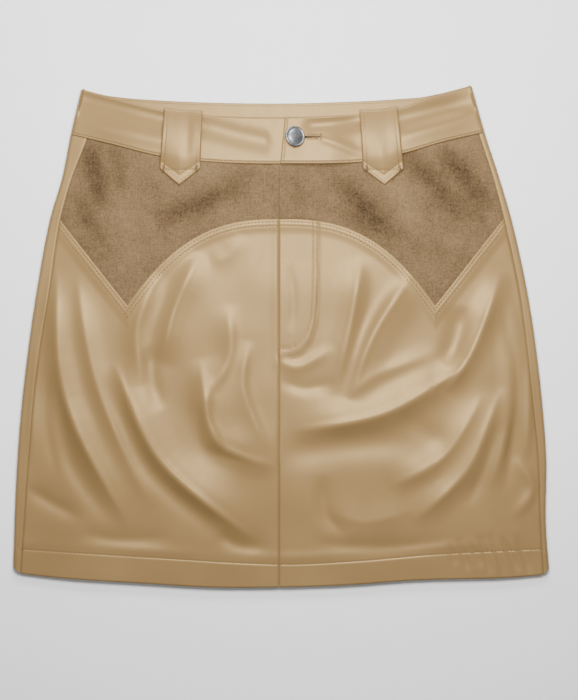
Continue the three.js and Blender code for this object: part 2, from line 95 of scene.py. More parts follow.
def rounding(distance: Array, radius: float, drop: float) -> Array:
    """Returns how far an edge turns down, by drop at the edge and nothing past the radius."""
    return drop * np.square(1.0 - np.clip(np.asarray(distance, float) / radius, 0.0, 1.0))


def mixed(a: Array, b: Array, share: Array) -> Array:
    """Returns a where share is 0 and b where it is 1."""
    return a + (b - a) * share


@dataclass(frozen=True)
class Curve:
    """A smooth curve through the rows of a table."""

    keys: tuple[float, ...]
    values: tuple[float, ...]

    def __call__(self, at: Array) -> Array:
        """Reads the curve.

        Args:
            at: Values of the key.

        Returns:
            The curve's values there.
        """
        keys, values = np.array(self.keys), np.array(self.values)
        at = np.asarray(at, float)
        i = np.clip(np.searchsorted(keys, at, side="right") - 1, 0, len(keys) - 2)
        before, after = np.maximum(i - 1, 0), np.minimum(i + 2, len(keys) - 1)
        span = keys[i + 1] - keys[i]
        start = (values[i + 1] - values[before]) / (keys[i + 1] - keys[before]) * span
        end = (values[after] - values[i]) / (keys[after] - keys[i]) * span
        t = (at - keys[i]) / span
        t2, t3 = t * t, t * t * t
        return (
            values[i] * (2 * t3 - 3 * t2 + 1)
            + start * (t3 - 2 * t2 + t)
            + values[i + 1] * (3 * t2 - 2 * t3)
            + end * (t3 - t2)
        )


def curves(rows: Sequence[tuple[float, ...]]) -> list[Curve]:
    """Returns one curve for each column of a table after its first, which is the key."""
    rows = sorted(rows)
    keys = tuple(row[0] for row in rows)
    return [Curve(keys, tuple(row[c] for row in rows)) for c in range(1, len(rows[0]))]


@dataclass(frozen=True)
class Fold:
    """A soft ridge, or a trough where its height is negative.

    Its crest runs through three points. The cloth falls away over `left` on the left of the way
    along it, and over `right` on the other side. Its crest has a narrower ridge of its own.
    """

    start: Point
    middle: Point
    end: Point
    height: float
    left: float
    right: float
    sharp: float = 0.2

    def crest(self, steps: int = 20) -> Array:
        """Returns points along the crest."""
        p = np.array([self.start, self.start, self.middle, self.end, self.end])
        found = []
        for i in (0, 1):
            a, b, c, d = p[i], p[i + 1], p[i + 2], p[i + 3]
            v0, v1 = (c - a) / 2, (d - b) / 2
            for t in np.linspace(0, 1, steps // 2, endpoint=False):
                cubic = (2 * b - 2 * c + v0 + v1) * t**3
                square = (3 * c - 3 * b - 2 * v0 - v1) * t**2
                found.append(cubic + square + v0 * t + b)
        return np.array([*found, p[-1]])

    def lift(self, x: Array, y: Array) -> Array:
        """Returns how far the fold lifts the cloth at each point."""
        points = self.crest()
        far = 3.2 * max(self.left, self.right)
        low, high = points.min(0) - far, points.max(0) + far
        near = (x > low[0]) & (x < high[0]) & (y > low[1]) & (y < high[1])
        total = np.zeros(np.shape(x))
        if not near.any():
            return total
        px, py = x[near], y[near]
        best = np.full(px.shape, np.inf)
        along, side = np.zeros(px.shape), np.ones(px.shape)
        count = len(points) - 1
        for i in range(count):
            (ax, ay), (bx, by) = points[i], points[i + 1]
            dx, dy = bx - ax, by - ay
            t = np.clip(((px - ax) * dx + (py - ay) * dy) / (dx * dx + dy * dy), 0.0, 1.0)
            gap = np.hypot(px - ax - dx * t, py - ay - dy * t)
            closer = gap < best
            best = np.where(closer, gap, best)
            along = np.where(closer, (i + t) / count, along)
            side = np.where(closer, dx * (py - ay) - dy * (px - ax), side)
        share = 0.5 + 0.5 * np.tanh(best * np.sign(side) / 1.5)
        spread = mixed(self.right, self.left, share)
        taper = ease(along, 0, 0.34) * ease(along, 1, 0.66)
        ridge = (1 - self.sharp) * bump(best, spread) + self.sharp * bump(best, 3.2)
        total[near] = self.height * taper * ridge
        return total


def folded(folds: Iterable[Fold], x: Array, y: Array) -> Array:
    """Returns the sum of several folds at each point."""
    return sum((fold.lift(x, y) for fold in folds), np.zeros(np.shape(x)))


@dataclass(frozen=True)
class Ripple:
    """A faint unevenness that cloth has wherever it isn't stretched."""

    height: float
    length: float
    seed: int

    def lift(self, x: Array, y: Array) -> Array:
        """Returns the unevenness at each point."""
        chance = np.random.default_rng(self.seed)
        total = np.zeros(np.shape(x))
        for _ in range(9):
            heading = chance.uniform(0, np.pi)
            turns = 2 * np.pi / (self.length * chance.uniform(0.7, 1.7))
            phase = chance.uniform(0, 2 * np.pi)
            total += np.sin(turns * (x * np.cos(heading) + y * np.sin(heading)) + phase)
        return self.height * total / 3.0


@dataclass(frozen=True)
class Path:
    """A run of points in the plane of the skirt."""

    points: tuple[Point, ...]

    def distance(self, x: Array, y: Array) -> Array:
        """Returns the signed distance to the path, positive on the right of the way along it."""
        best, side = np.full(np.shape(x), np.inf), np.ones(np.shape(x))
        for (ax, ay), (bx, by) in zip(self.points, self.points[1:]):
            dx, dy = bx - ax, by - ay
            t = np.clip(((x - ax) * dx + (y - ay) * dy) / (dx * dx + dy * dy), 0.0, 1.0)
            gap = np.hypot(x - ax - dx * t, y - ay - dy * t)
            closer = gap < best
            best = np.where(closer, gap, best)
            side = np.where(closer, dy * (x - ax) - dx * (y - ay), side)
        return best * np.sign(side)

    def spaced(self, step: float) -> Array:
        """Returns points along the path, a step apart."""
        p = np.array(self.points)
        run = np.concatenate([[0], np.cumsum(np.hypot(*np.diff(p, axis=0).T))])
        at = np.linspace(0, run[-1], max(int(run[-1] / step), 1) + 1)
        return np.stack([np.interp(at, run, p[:, 0]), np.interp(at, run, p[:, 1])], axis=1)


SIDE_LINES = (
    (206, -162.8, -146, 149, 155.6),
    (165, -172.4, -157.5, 161.5, 167.2),
    (130, -179.4, -170.8, 172.9, 178.6),
    (95, -189.6, -180.8, 182.2, 188.8),
    (45, -199.0, -188.6, 193.2, 200.0),
    (0, -205.8, -195.9, 199.9, 207.4),
    (-50, -211.9, -202.5, 205.4, 213.3),
    (-100, -216.0, -206.8, 210.3, 217.0),
    (-150, -218.3, -210.3, 212.0, 216.6),
    (-195, -219.4, -213.4, 214.6, 219.4),
)
WAIST_EDGES = (
    (-166, 203.2, 203.2),
    (-140, 195.9, 196.9),
    (-98, 185.5, 193.3),
    (-55, 180.4, 191.5),
    (0, 179.2, 190.8),
    (60, 181.4, 192.4),
    (96, 186.6, 194.5),
    (120, 195.2, 196.8),
    (158, 206.0, 206.0),
)
BAND_SEAM = (
    (-174, 165.4, 165.4),
    (-140, 157.3, 159.5),
    (-99, 147.2, 157.0),
    (-50, 141.9, 155.3),
    (0, 140.9, 154.8),
    (66, 142.3, 156.0),
    (100, 149.4, 157.9),
    (132, 158.8, 160.6),
    (169, 167.4, 167.4),
)
HEM_EDGES = (
    (-222, -186.5, -186.5),
    (-211, -194.2, -193.4),
    (-105, -202.4, -200.4),
    (-44, -205.4, -203.0),
    (46, -203.6, -201.4),
    (108, -199.4, -197.6),
    (212, -195.2, -194.0),
    (222, -187.0, -187.0),
)
HEM_STITCH = (
    (-220, -173.6),
    (-110, -180.6),
    (-1.6, -186.4),
    (61, -183.8),
    (124, -178.4),
    (218, -173.6),
)

MAIN_FOLDS = (
    Fold((-184, 60), (-176, -52), (-120, -162), 5.2, 13, 8),
    Fold((-168, 56), (-150, -42), (-104, -144), 2.8, 10, 8),
    Fold((-138, -18), (-98, -102), (-16, -170), 6.4, 18, 9),
    Fold((-66, -16), (-54, -84), (0, -108), 4.6, 24, 10),
    Fold((-66, 70), (-88, 20), (-97, -24), 3.6, 12, 8),
    Fold((-98, 52), (-118, 8), (-113, -42), 2.8, 8, 9),
    Fold((4, -78), (84, -63), (154, -22), 6.4, 20, 10),
    Fold((134, -46), (158, -8), (182, 56), 5.0, 11, 8),
    Fold((56, -52), (76, 2), (110, 54), 4.2, 8, 15),
    Fold((42, -50), (57, 12), (66, 66), 3.6, 12, 8),
    Fold((104, -154), (152, -108), (181, -40), 4.8, 13, 9),
    Fold((86, -124), (133, -98), (166, -44), 3.2, 12, 8),
    Fold((170, -126), (189, -54), (184, 32), 3.8, 8, 8),
)
FINE_FOLDS = (
    Fold((-44, 28), (-42, -14), (-58, -46), 1.7, 6, 10),
    Fold((-58, -30), (-60, -66), (-46, -92), 1.6, 5, 9),
    Fold((-26, -2), (-31, -44), (-10, -96), 1.8, 6, 10),
    Fold((-68, -50), (-62, -92), (-14, -104), -1.8, 9, 10),
    Fold((-210, -122), (-188, -136), (-160, -150), -1.5, 7, 7),
    Fold((-168, -160), (-130, -166), (-84, -164), -1.2, 8, 7),
    Fold((-52, -160), (-36, -170), (-6, -172), -1.4, 8, 7),
    Fold((-104, -6), (-106, -30), (-98, -62), -1.2, 6, 7, 0),
    Fold((-136, -30), (-112, -104), (-40, -168), -1.5, 7, 8, 0),
    Fold((-183, -20), (-174, -98), (-132, -160), -1.3, 7, 7, 0),
    Fold((-8, -98), (50, -88), (124, -84), -2.2, 12, 14, 0),
    Fold((-6, -16), (14, -25), (44, -8), 1.3, 5, 6),
    Fold((-4, -34), (20, -42), (46, -36), -1.1, 7, 6),
    Fold((146, 26), (143, 0), (134, -26), -1.7, 8, 9, 0),
    Fold((52, -52), (78, -32), (134, -10), 1.3, 8, 6),
    Fold((94, -66), (116, -76), (136, -92), -0.9, 9, 9, 0),
    Fold((34, -112), (36, -144), (56, -164), -1.7, 9, 8),
    Fold((38, -142), (70, -152), (112, -140), 1.3, 12, 14),
    Fold((20, -168), (80, -172), (140, -168), -1.1, 7, 7),
    Fold((182, 30), (191, -44), (182, -132), -2.6, 6, 6),
    Fold((190, -98), (206, -124), (188, -150), 1.5, 5, 6),
    Fold((202, -20), (203, -60), (199, -104), 1.3, 4, 4),
    Fold((150, -140), (166, -108), (178, -66), -1.2, 6, 6),
    Fold((-202, 30), (-204, -40), (-203, -110), 0.9, 4, 5),
    Fold((-190, -20), (-192, -70), (-182, -120), -0.9, 6, 6),
    Fold((6, 60), (10, 30), (8, 2), -0.5, 4, 4),
    Fold((-30, 84), (-44, 66), (-60, 62), 0.7, 8, 9),
)
SUEDE_FOLDS = (
    Fold((-158, 160), (-152, 130), (-146, 96), -2.2, 8, 9, 0),
    Fold((-138, 158), (-133, 134), (-128, 108), -1.2, 7, 7, 0),
    Fold((-172, 118), (-160, 98), (-140, 66), -1.3, 7, 7, 0),
    Fold((-110, 90), (-72, 106), (-24, 124), -2.3, 9, 10, 0),
    Fold((-108, 130), (-70, 136), (-34, 134), 0.9, 10, 10, 0),
    Fold((36, 132), (66, 106), (100, 72), -2.3, 9, 9, 0),
    Fold((30, 104), (54, 96), (80, 74), -1.0, 7, 7, 0),
    Fold((92, 152), (124, 126), (156, 84), -2.2, 9, 9, 0),
    Fold((128, 156), (152, 130), (170, 100), -2.0, 8, 9, 0),
    Fold((72, 134), (100, 108), (124, 66), 1.0, 8, 8, 0),
    Fold((14, 130), (16, 114), (12, 98), -0.8, 6, 6, 0),
)
BAND_FOLDS = (
    Fold((-196, 204), (-128, 186), (-56, 168), -2.4, 7, 10, 0),
    Fold((-172, 176), (-120, 164), (-76, 156), 0.8, 7, 6, 0),
    Fold((-100, 184), (-38, 165), (26, 152), -1.7, 8, 9, 0),
    Fold((8, 172), (44, 174), (92, 184), -2.2, 6, 8, 0),
    Fold((22, 166), (44, 158), (72, 146), 0.9, 4, 4, 0.2),
    Fold((72, 172), (118, 183), (170, 196), -2.2, 8, 9, 0),
    Fold((88, 158), (122, 170), (170, 184), 0.9, 6, 7, 0),
)
HEM_PUCKERS = tuple(
    Fold((x - lean, -176 + reach), (x, -178), (x + lean, -180 - reach), -depth, 2.8, 3.2, 0)
    for x, reach, lean, depth in (
        (140, 8, 3, 0.5),
        (149, 13, 5, 0.9),
        (159, 10, 6, 0.8),
        (167, 16, 5, 1.1),
        (177, 18, 7, 1.0),
        (187, 14, 8, 1.2),
        (198, 16, 6, 0.9),
    )
)


@dataclass(frozen=True)
class Form:
    """The shape that every cloth piece of the skirt lies on."""

    body_height: float = 5.0
    band_height: float = 5.8
    fly_x: float = -1.6
    swell: float = 1.2
    yoke_point: Point = (125.8, 25.4)
    yoke_side: Point = (181.0, 95.5)
    arch_top: float = 96.0
    arch_power: float = 2.65
    edge_lift: float = 0.9
    fly_lift: float = 1.0
    lap_length: float = 34.0
    lap_rise: float = 2.0
    lap_sink: float = 0.7
    lap_fade: float = 30.0
    drape: float = 0.9
    ripple: Ripple = Ripple(0.2, 44.0, SEED)
    fly_inner: Path = Path(
        ((26, 146), (26, 60), (25.6, 30), (24.4, 14), (21, 2), (14.6, -6.4), (7, -9.4), (-1.4, -9.8))
    )
    fly_outer: Path = Path(
        ((29.4, 146), (29.4, 60), (29, 28), (27.6, 11), (23.6, -2.6), (16.4, -12), (8, -15.4), (-1.4, -16))
    )

    def __post_init__(self) -> None:
        """Reads the tables of lines and edges."""
        names = (
            ("left_fold", "left_seam", "right_seam", "right_fold"),
            ("front_top", "back_top"),
            ("front_band_seam", "back_band_seam"),
            ("front_hem", "back_hem"),
            ("hem_stitch",),
        )
        tables = (SIDE_LINES, WAIST_EDGES, BAND_SEAM, HEM_EDGES, HEM_STITCH)
        for columns, rows in zip(names, tables):
            for name, curve in zip(columns, curves(rows)):
                object.__setattr__(self, name, curve)

    def yoke_runs(self, x: Array) -> tuple[tuple[Array, Array], tuple[Array, float]]:
        """Returns the yokes' arch and the straight run beside it, each as a y and a length per x."""
        reach = np.abs(x)
        (px, py), (sx, sy) = self.yoke_point, self.yoke_side
        drop, power = self.arch_top - py, self.arch_power
        arch = self.arch_top - drop * (reach / px) ** power
        arch_slope = drop * power / px * (reach / px) ** (power - 1)
        slope = (sy - py) / (sx - px)
        return (arch, np.hypot(1.0, arch_slope)), (py + (reach - px) * slope, math.hypot(1.0, slope))

    def yoke_line(self, x: Array, down: Array = 0.0) -> Array:
        """Returns the y of the line that lies so far below the yokes' edge, square to it."""
        (arch, arch_lean), (straight, lean) = self.yoke_runs(x)
        return np.maximum(arch - down * arch_lean, straight - down * lean)

    def below_yoke(self, x: Array, y: Array) -> Array:
        """Returns the distance below the yokes' lower line, square to it."""
        (arch, arch_lean), (straight, lean) = self.yoke_runs(x)
        return np.maximum((arch - y) / arch_lean, (straight - y) / lean)

    def rise(self, x: Array, y: Array, fine: bool = True) -> Array:
        """Finds how far the cloth on top lies above its flat height.

        Args:
            x: Places across the skirt.
            y: Places up the skirt.
            fine: Whether the small folds and the ripple count.

        Returns:
            The rise at each place.
        """
        inset = np.minimum(x - self.left_fold(y), self.right_fold(y) - x)
        clear = ease(inset, 2, 16) * ease(y, -206, -175)
        total = self.swell * ease(inset, 4, 55) + self.drape * folded(MAIN_FOLDS, x, y) * clear
        if fine:
            small = folded(FINE_FOLDS, x, y) + self.ripple.lift(x, y)
            total += small * ease(inset, 3, 14) * ease(y, -204, -184)
        return total

    def fly(self, x: Array, y: Array) -> Array:
        """Returns the relief of the fly's facing and of its two rows of stitches."""
        inside = self.fly_outer.distance(x, y)
        rows = bump(inside, 0.6) + bump(self.fly_inner.distance(x, y), 0.6)
        on_side = x > self.fly_x - 0.5
        return np.where(on_side, 0.8 * self.fly_lift * ease(inside, -3.6, 1.2) - 0.24 * rows, 0.0)


@dataclass(frozen=True)
class Runs:
    """The way a strip of cloth is divided: stops, and how many steps lie between each pair."""

    stops: tuple[float, ...]
    steps: tuple[int, ...]

    def values(self) -> Array:
        """Returns every division, stops included."""
        parts = [np.linspace(a, b, n, endpoint=False) for a, b, n in zip(self.stops, self.stops[1:], self.steps)]
        return np.concatenate([*parts, [self.stops[-1]]])


def settled(line: Callable[[Array], Array], edge: Callable[[Array], Array], start: Array) -> tuple[Array, Array]:
    """Finds where lines down the skirt cross curves across it.

    Args:
        line: The x of each line at a y.
        edge: The y of each curve at an x.
        start: A first y for each crossing.

    Returns:
        The x and y of every crossing.
    """
    y = start
    x = line(y)
    for _ in range(24):
        y = mixed(y, edge(x), 0.6)
        x = line(y)
    return x, y


def normals_of(points: Array) -> Array:
    """Returns the unit normals of a grid of points, by the right hand from columns to rows."""
    across, down = np.gradient(points, axis=0), np.gradient(points, axis=1)
    normal = np.cross(across, down)
    return normal / np.maximum(np.linalg.norm(normal, axis=2, keepdims=True), 1e-9)


def shell(name: str, outer: Array, inner: Array) -> bpy.types.Object:
    """Makes a closed wall between two grids of points.

    Args:
        name: The new object's name.
        outer: The grid on the side that shows, in millimetres.
        inner: The grid on the other side, of the same size.

    Returns:
        The new object.
    """
    columns, rows = outer.shape[:2]
    points = np.concatenate([outer.reshape(-1, 3), inner.reshape(-1, 3)]) * MM
    at = np.arange(2 * columns * rows).reshape(2, columns, rows)

    def strip(a: Array, b: Array, c: Array, d: Array) -> Array:
        return np.stack([a.ravel(), b.ravel(), c.ravel(), d.ravel()], axis=1)

    o, i = at
    faces = np.concatenate(
        [
            strip(o[:-1, :-1], o[:-1, 1:], o[1:, 1:], o[1:, :-1]),
            strip(i[:-1, :-1], i[1:, :-1], i[1:, 1:], i[:-1, 1:]),
            strip(o[:-1, 0], o[1:, 0], i[1:, 0], i[:-1, 0]),
            strip(o[1:, -1], o[:-1, -1], i[:-1, -1], i[1:, -1]),
            strip(o[0, 1:], o[0, :-1], i[0, :-1], i[0, 1:]),
            strip(o[-1, :-1], o[-1, 1:], i[-1, 1:], i[-1, :-1]),
        ]
    )
    a, b, c, d = (points[faces[:, k]] for k in range(4))
    volume = np.einsum("ij,ij->", a, np.cross(b, c)) + np.einsum("ij,ij->", a, np.cross(c, d))
    if volume < 0:
        faces = faces[:, ::-1]
    return mesh_object(name, points, faces.tolist())


def mesh_object(name: str, points: Array, faces: Sequence[Sequence[int]], edges: Sequence = ()) -> bpy.types.Object:
    """Makes an object from points in metres and the faces or edges between them.

    Args:
        name: The new object's name.
        points: Its corners.
        faces: Corner numbers of each face.
        edges: Corner numbers of each loose edge.

    Returns:
        The new object, smooth but for its sharp edges.
    """
    mesh = bpy.data.meshes.new(name)
    mesh.from_pydata(np.asarray(points).tolist(), edges, faces)
    mesh.update()
    if faces:
        mesh.polygons.foreach_set("use_smooth", [True] * len(mesh.polygons))
        mesh.set_sharp_from_angle(angle=math.radians(55))
    made = bpy.data.objects.new(name, mesh)
    bpy.context.scene.collection.objects.link(made)
    return made


class Signal:
    """A socket in a shader, with arithmetic that adds Math nodes."""

    def __init__(self, graph: "Graph", socket: bpy.types.NodeSocket) -> None:
        """Wraps a socket of a graph."""
        self.graph, self.socket = graph, socket

    def _with(self, operation: str, first: Any, second: Any) -> "Signal":
        """Returns the result of a Math node on two values or signals."""
        return self.graph.node("ShaderNodeMath", {"operation": operation}, {0: first, 1: second})

    def __add__(self, other: Any) -> "Signal":
        """Returns the sum."""
        return self._with("ADD", self, other)

    def __sub__(self, other: Any) -> "Signal":
        """Returns the difference."""
        return self._with("SUBTRACT", self, other)

    def __mul__(self, other: Any) -> "Signal":
        """Returns the product."""
        return self._with("MULTIPLY", self, other)

    def __rsub__(self, other: Any) -> "Signal":
        """Returns the difference from a number."""
        return self._with("SUBTRACT", other, self)

    __radd__ = __add__
    __rmul__ = __mul__


class Graph:
    """The node tree of one material, with a Principled shader at its end."""

    def __init__(self, name: str) -> None:
        """Makes an empty material of this name."""
        self.material = bpy.data.materials.new(name)
        self.material.use_nodes = True
        self.tree = self.material.node_tree
        self.shader = self.tree.nodes["Principled BSDF"]

    def node(self, kind: str, settings: dict[str, Any], inputs: dict[Any, Any], output: int | str = 0) -> Signal:
        """Adds a node.

        Args:
            kind: The node's type.
            settings: Its properties, or the stops of a ramp under "stops".
            inputs: Values or signals for its sockets, by name or number.
            output: The socket that is wanted.

        Returns:
            The wanted output.
        """
        node = self.tree.nodes.new(kind)
        for key, value in settings.items():
            if key == "stops":
                ramp = node.color_ramp.elements
                while len(ramp) < len(value):
                    ramp.new(0.5)
                for stop, (place, colour) in zip(ramp, value):
                    stop.position, stop.color = place, (*colour, 1.0)
            else:
                setattr(node, key, value)
        for key, value in inputs.items():
            self.feed(node.inputs[key], value)
        return Signal(self, node.outputs[output])

    def feed(self, socket: bpy.types.NodeSocket, value: Any) -> None:
        """Links a signal to a socket, or sets a value on it."""
        if isinstance(value, Signal):
            self.tree.links.new(value.socket, socket)
        else:
            socket.default_value = value

    def place(self, scale: tuple[float, float, float] = (1, 1, 1)) -> Signal:
        """Returns the place on the object, in metres, stretched by a scale."""
        where = self.node("ShaderNodeTexCoord", {}, {}, "Object")
        return self.node("ShaderNodeMapping", {}, {"Vector": where, "Scale": scale})

    def noise(self, where: Signal, scale: float, detail: float = 3.0, roughness: float = 0.5) -> Signal:
        """Returns soft noise from 0 to 1, with so many waves to a metre."""
        inputs = {"Vector": where, "Scale": scale, "Detail": detail, "Roughness": roughness}
        return self.node("ShaderNodeTexNoise", {}, inputs, "Fac")

    def ramp(self, value: Signal, stops: Sequence[tuple[float, tuple[float, float, float]]]) -> Signal:
        """Returns the colour that a value picks from a ramp."""
        return self.node("ShaderNodeValToRGB", {"stops": stops}, {"Fac": value}, "Color")

    def bumped(self, height: Signal, depth: float, strength: float = 1.0) -> Signal:
        """Returns normals bent by a height, whose full range is depth in metres."""
        inputs = {"Height": height, "Distance": depth, "Strength": strength}
        return self.node("ShaderNodeBump", {}, inputs, "Normal")

    def finish(self, inputs: dict[str, Any]) -> bpy.types.Material:
        """Sets the shader's own sockets and returns the material."""
        for key, value in inputs.items():
            self.feed(self.shader.inputs[key], value)
        return self.material


Colour = tuple[float, float, float]


@dataclass(frozen=True)
class CoatedLeather:
    """Supple leather with a satin coat: a faint grain, and colour a little uneven."""

    name: str = "coated_leather"
    light: Colour = (0.226, 0.143, 0.058)
    dark: Colour = (0.184, 0.114, 0.045)
    sheen: Colour = (1.0, 0.70, 0.34)
    roughness: float = 0.34

    def material(self) -> bpy.types.Material:
        """Returns the finish as a material."""
        g = Graph(self.name)
        where = g.place()
        patches = g.noise(where, 9.0, 4.0)
        grain = g.node(
            "ShaderNodeTexVoronoi", {"feature": "SMOOTH_F1"}, {"Vector": where, "Scale": 1100.0}, "Distance"
        )
        pores = g.noise(where, 2600.0, 2.0)
        creases = g.noise(g.place((1.0, 0.45, 1.0)), 160.0, 5.0, 0.6)
        tone = g.ramp(patches, ((0.3, self.dark), (0.7, self.light)))
        height = grain * 0.5 + pores * 0.2 + creases * 0.9
        return g.finish(
            {
                "Base Color": tone,
                "Roughness": creases * 0.10 + (self.roughness - 0.05),
                "Specular IOR Level": 0.5,
                "Specular Tint": (*self.sheen, 1.0),
                "Normal": g.bumped(height, 0.00007, 0.35),
            }
        )


@dataclass(frozen=True)
class SuedeCloth:
    """Short napped suede on a fine weave, mottled at random, with painted shade in the troughs of its folds and
    painted light on their ridges.
    """

    name: str = "suede_cloth"
    # How strongly the painted fold shade and painted fold light tint the colour.
    fold_shading: float = 0.065
    light: Colour = (0.200, 0.128, 0.062)
    dark: Colour = (0.036, 0.021, 0.009)

    def material(self) -> bpy.types.Material:
        """Returns the finish as a material."""
        g = Graph(self.name)
        where = g.place()
        clouds = g.noise(where, 34.0, 6.0, 0.7)
        warp = g.noise(g.place((1.0, 0.12, 1.0)), 1000.0, 2.0)
        weft = g.noise(g.place((0.12, 1.0, 1.0)), 1000.0, 2.0)
        nap_and_fold_shade = g.noise(where, 620.0, 4.0, 0.75)
        # Painted shade: the suede folds' heights, stored on each yoke, darken the colour in the fold troughs and
        # lighten it on the ridges.
        brushed = g.node("ShaderNodeAttribute", {"attribute_name": "brushed"}, {}, "Fac")
        mottle_and_fold_shade = clouds * 0.36 + warp * 0.14 + weft * 0.12 + nap_and_fold_shade * 0.53 + brushed * self.fold_shading
        tone = g.ramp(mottle_and_fold_shade, ((0.33, self.dark), (0.74, self.light)))
        return g.finish(
            {
                "Base Color": tone,
                "Roughness": 0.95,
                "Specular IOR Level": 0.15,
                "Sheen Weight": 0.2,
                "Sheen Roughness": 0.45,
                "Sheen Tint": (0.7, 0.5, 0.32, 1.0),
                "Normal": g.bumped(warp * 0.5 + weft * 0.4 + nap_and_fold_shade * 0.6, 0.0003, 0.6),
            }
        )


@dataclass(frozen=True)
class Thread:
    """Sewing thread in the colour of the cloth, with its twist."""

    name: str = "thread"
    colour: Colour = (0.125, 0.070, 0.026)

    def material(self) -> bpy.types.Material:
        """Returns the finish as a material."""
        g = Graph(self.name)
        twist = g.noise(g.place(), 2200.0, 2.0)
        dark = tuple(0.72 * c for c in self.colour)
        tone = g.ramp(twist, ((0.3, dark), (0.7, self.colour)))
        return g.finish({"Base Color": tone, "Roughness": 0.55, "Normal": g.bumped(twist, 0.0001, 0.5)})


@dataclass(frozen=True)
class AntiqueSilver:
    """Brushed grey metal, its tone and wear uneven at random."""

    name: str = "antique_silver"
    light: Colour = (0.34, 0.34, 0.355)
    dark: Colour = (0.13, 0.13, 0.14)

    def material(self) -> bpy.types.Material:
        """Returns the finish as a material."""
        g = Graph(self.name)
        where = g.place()
        brushed = g.noise(g.place((1.0, 0.08, 1.0)), 2600.0, 3.0)
        worn = g.noise(where, 420.0, 4.0)
        tone = g.ramp(worn * 0.7 + brushed * 0.3, ((0.3, self.dark), (0.72, self.light)))
        return g.finish(
            {
                "Base Color": tone,
                "Metallic": 0.92,
                "Roughness": brushed * 0.18 + 0.30,
                "Normal": g.bumped(brushed * 0.5 + worn * 0.5, 0.00008, 0.5),
            }
        )


@dataclass(frozen=True)
class PaleFloor:
    """A plain matt white surface."""

    name: str = "pale_floor"

    def material(self) -> bpy.types.Material:
        """Returns the finish as a material."""
        g = Graph(self.name)
        speck = g.noise(g.place(), 60.0, 2.0)
        tone = g.ramp(speck, ((0.0, (0.86, 0.86, 0.86)), (1.0, (0.90, 0.90, 0.90))))
        return g.finish({"Base Color": tone, "Roughness": 0.9, "Specular IOR Level": 0.1})


@dataclass(frozen=True)
class Finishes:
    """Every material of the skirt, made once."""

    leather: bpy.types.Material
    suede: bpy.types.Material
    thread: bpy.types.Material
    metal: bpy.types.Material

    @classmethod
    def made(cls) -> "Finishes":
        """Makes the materials."""
        return cls(
            CoatedLeather().material(), SuedeCloth().material(), Thread().material(), AntiqueSilver().material()
        )


@dataclass(frozen=True)
class Cut:
    """The flat cut of a piece of cloth, in metres, and how it is held."""

    width: float
    length: float
    area: float
    hold: Hold
    rests_on: tuple[str, ...]


def dress(
    piece: bpy.types.Object,
    material: bpy.types.Material,
    node: str | None = None,
) -> bpy.types.Object:
    """Gives a piece its finish and its place in the frame.

    Args:
        piece: The piece.
        material: Its material.
        node: The node that it replaces, if any.

    Returns:
        The same piece.
    """
    piece.data.materials.clear()
    piece.data.materials.append(material)
    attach(piece, "root")
    if node:
        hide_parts(node)
    log.info("%s: %d faces", piece.name, len(piece.data.polygons))
    return piece


@dataclass
class Seam:
    """A row of stitches: points on the cloth, in millimetres."""

    points: Array
    pitch: float = 2.9


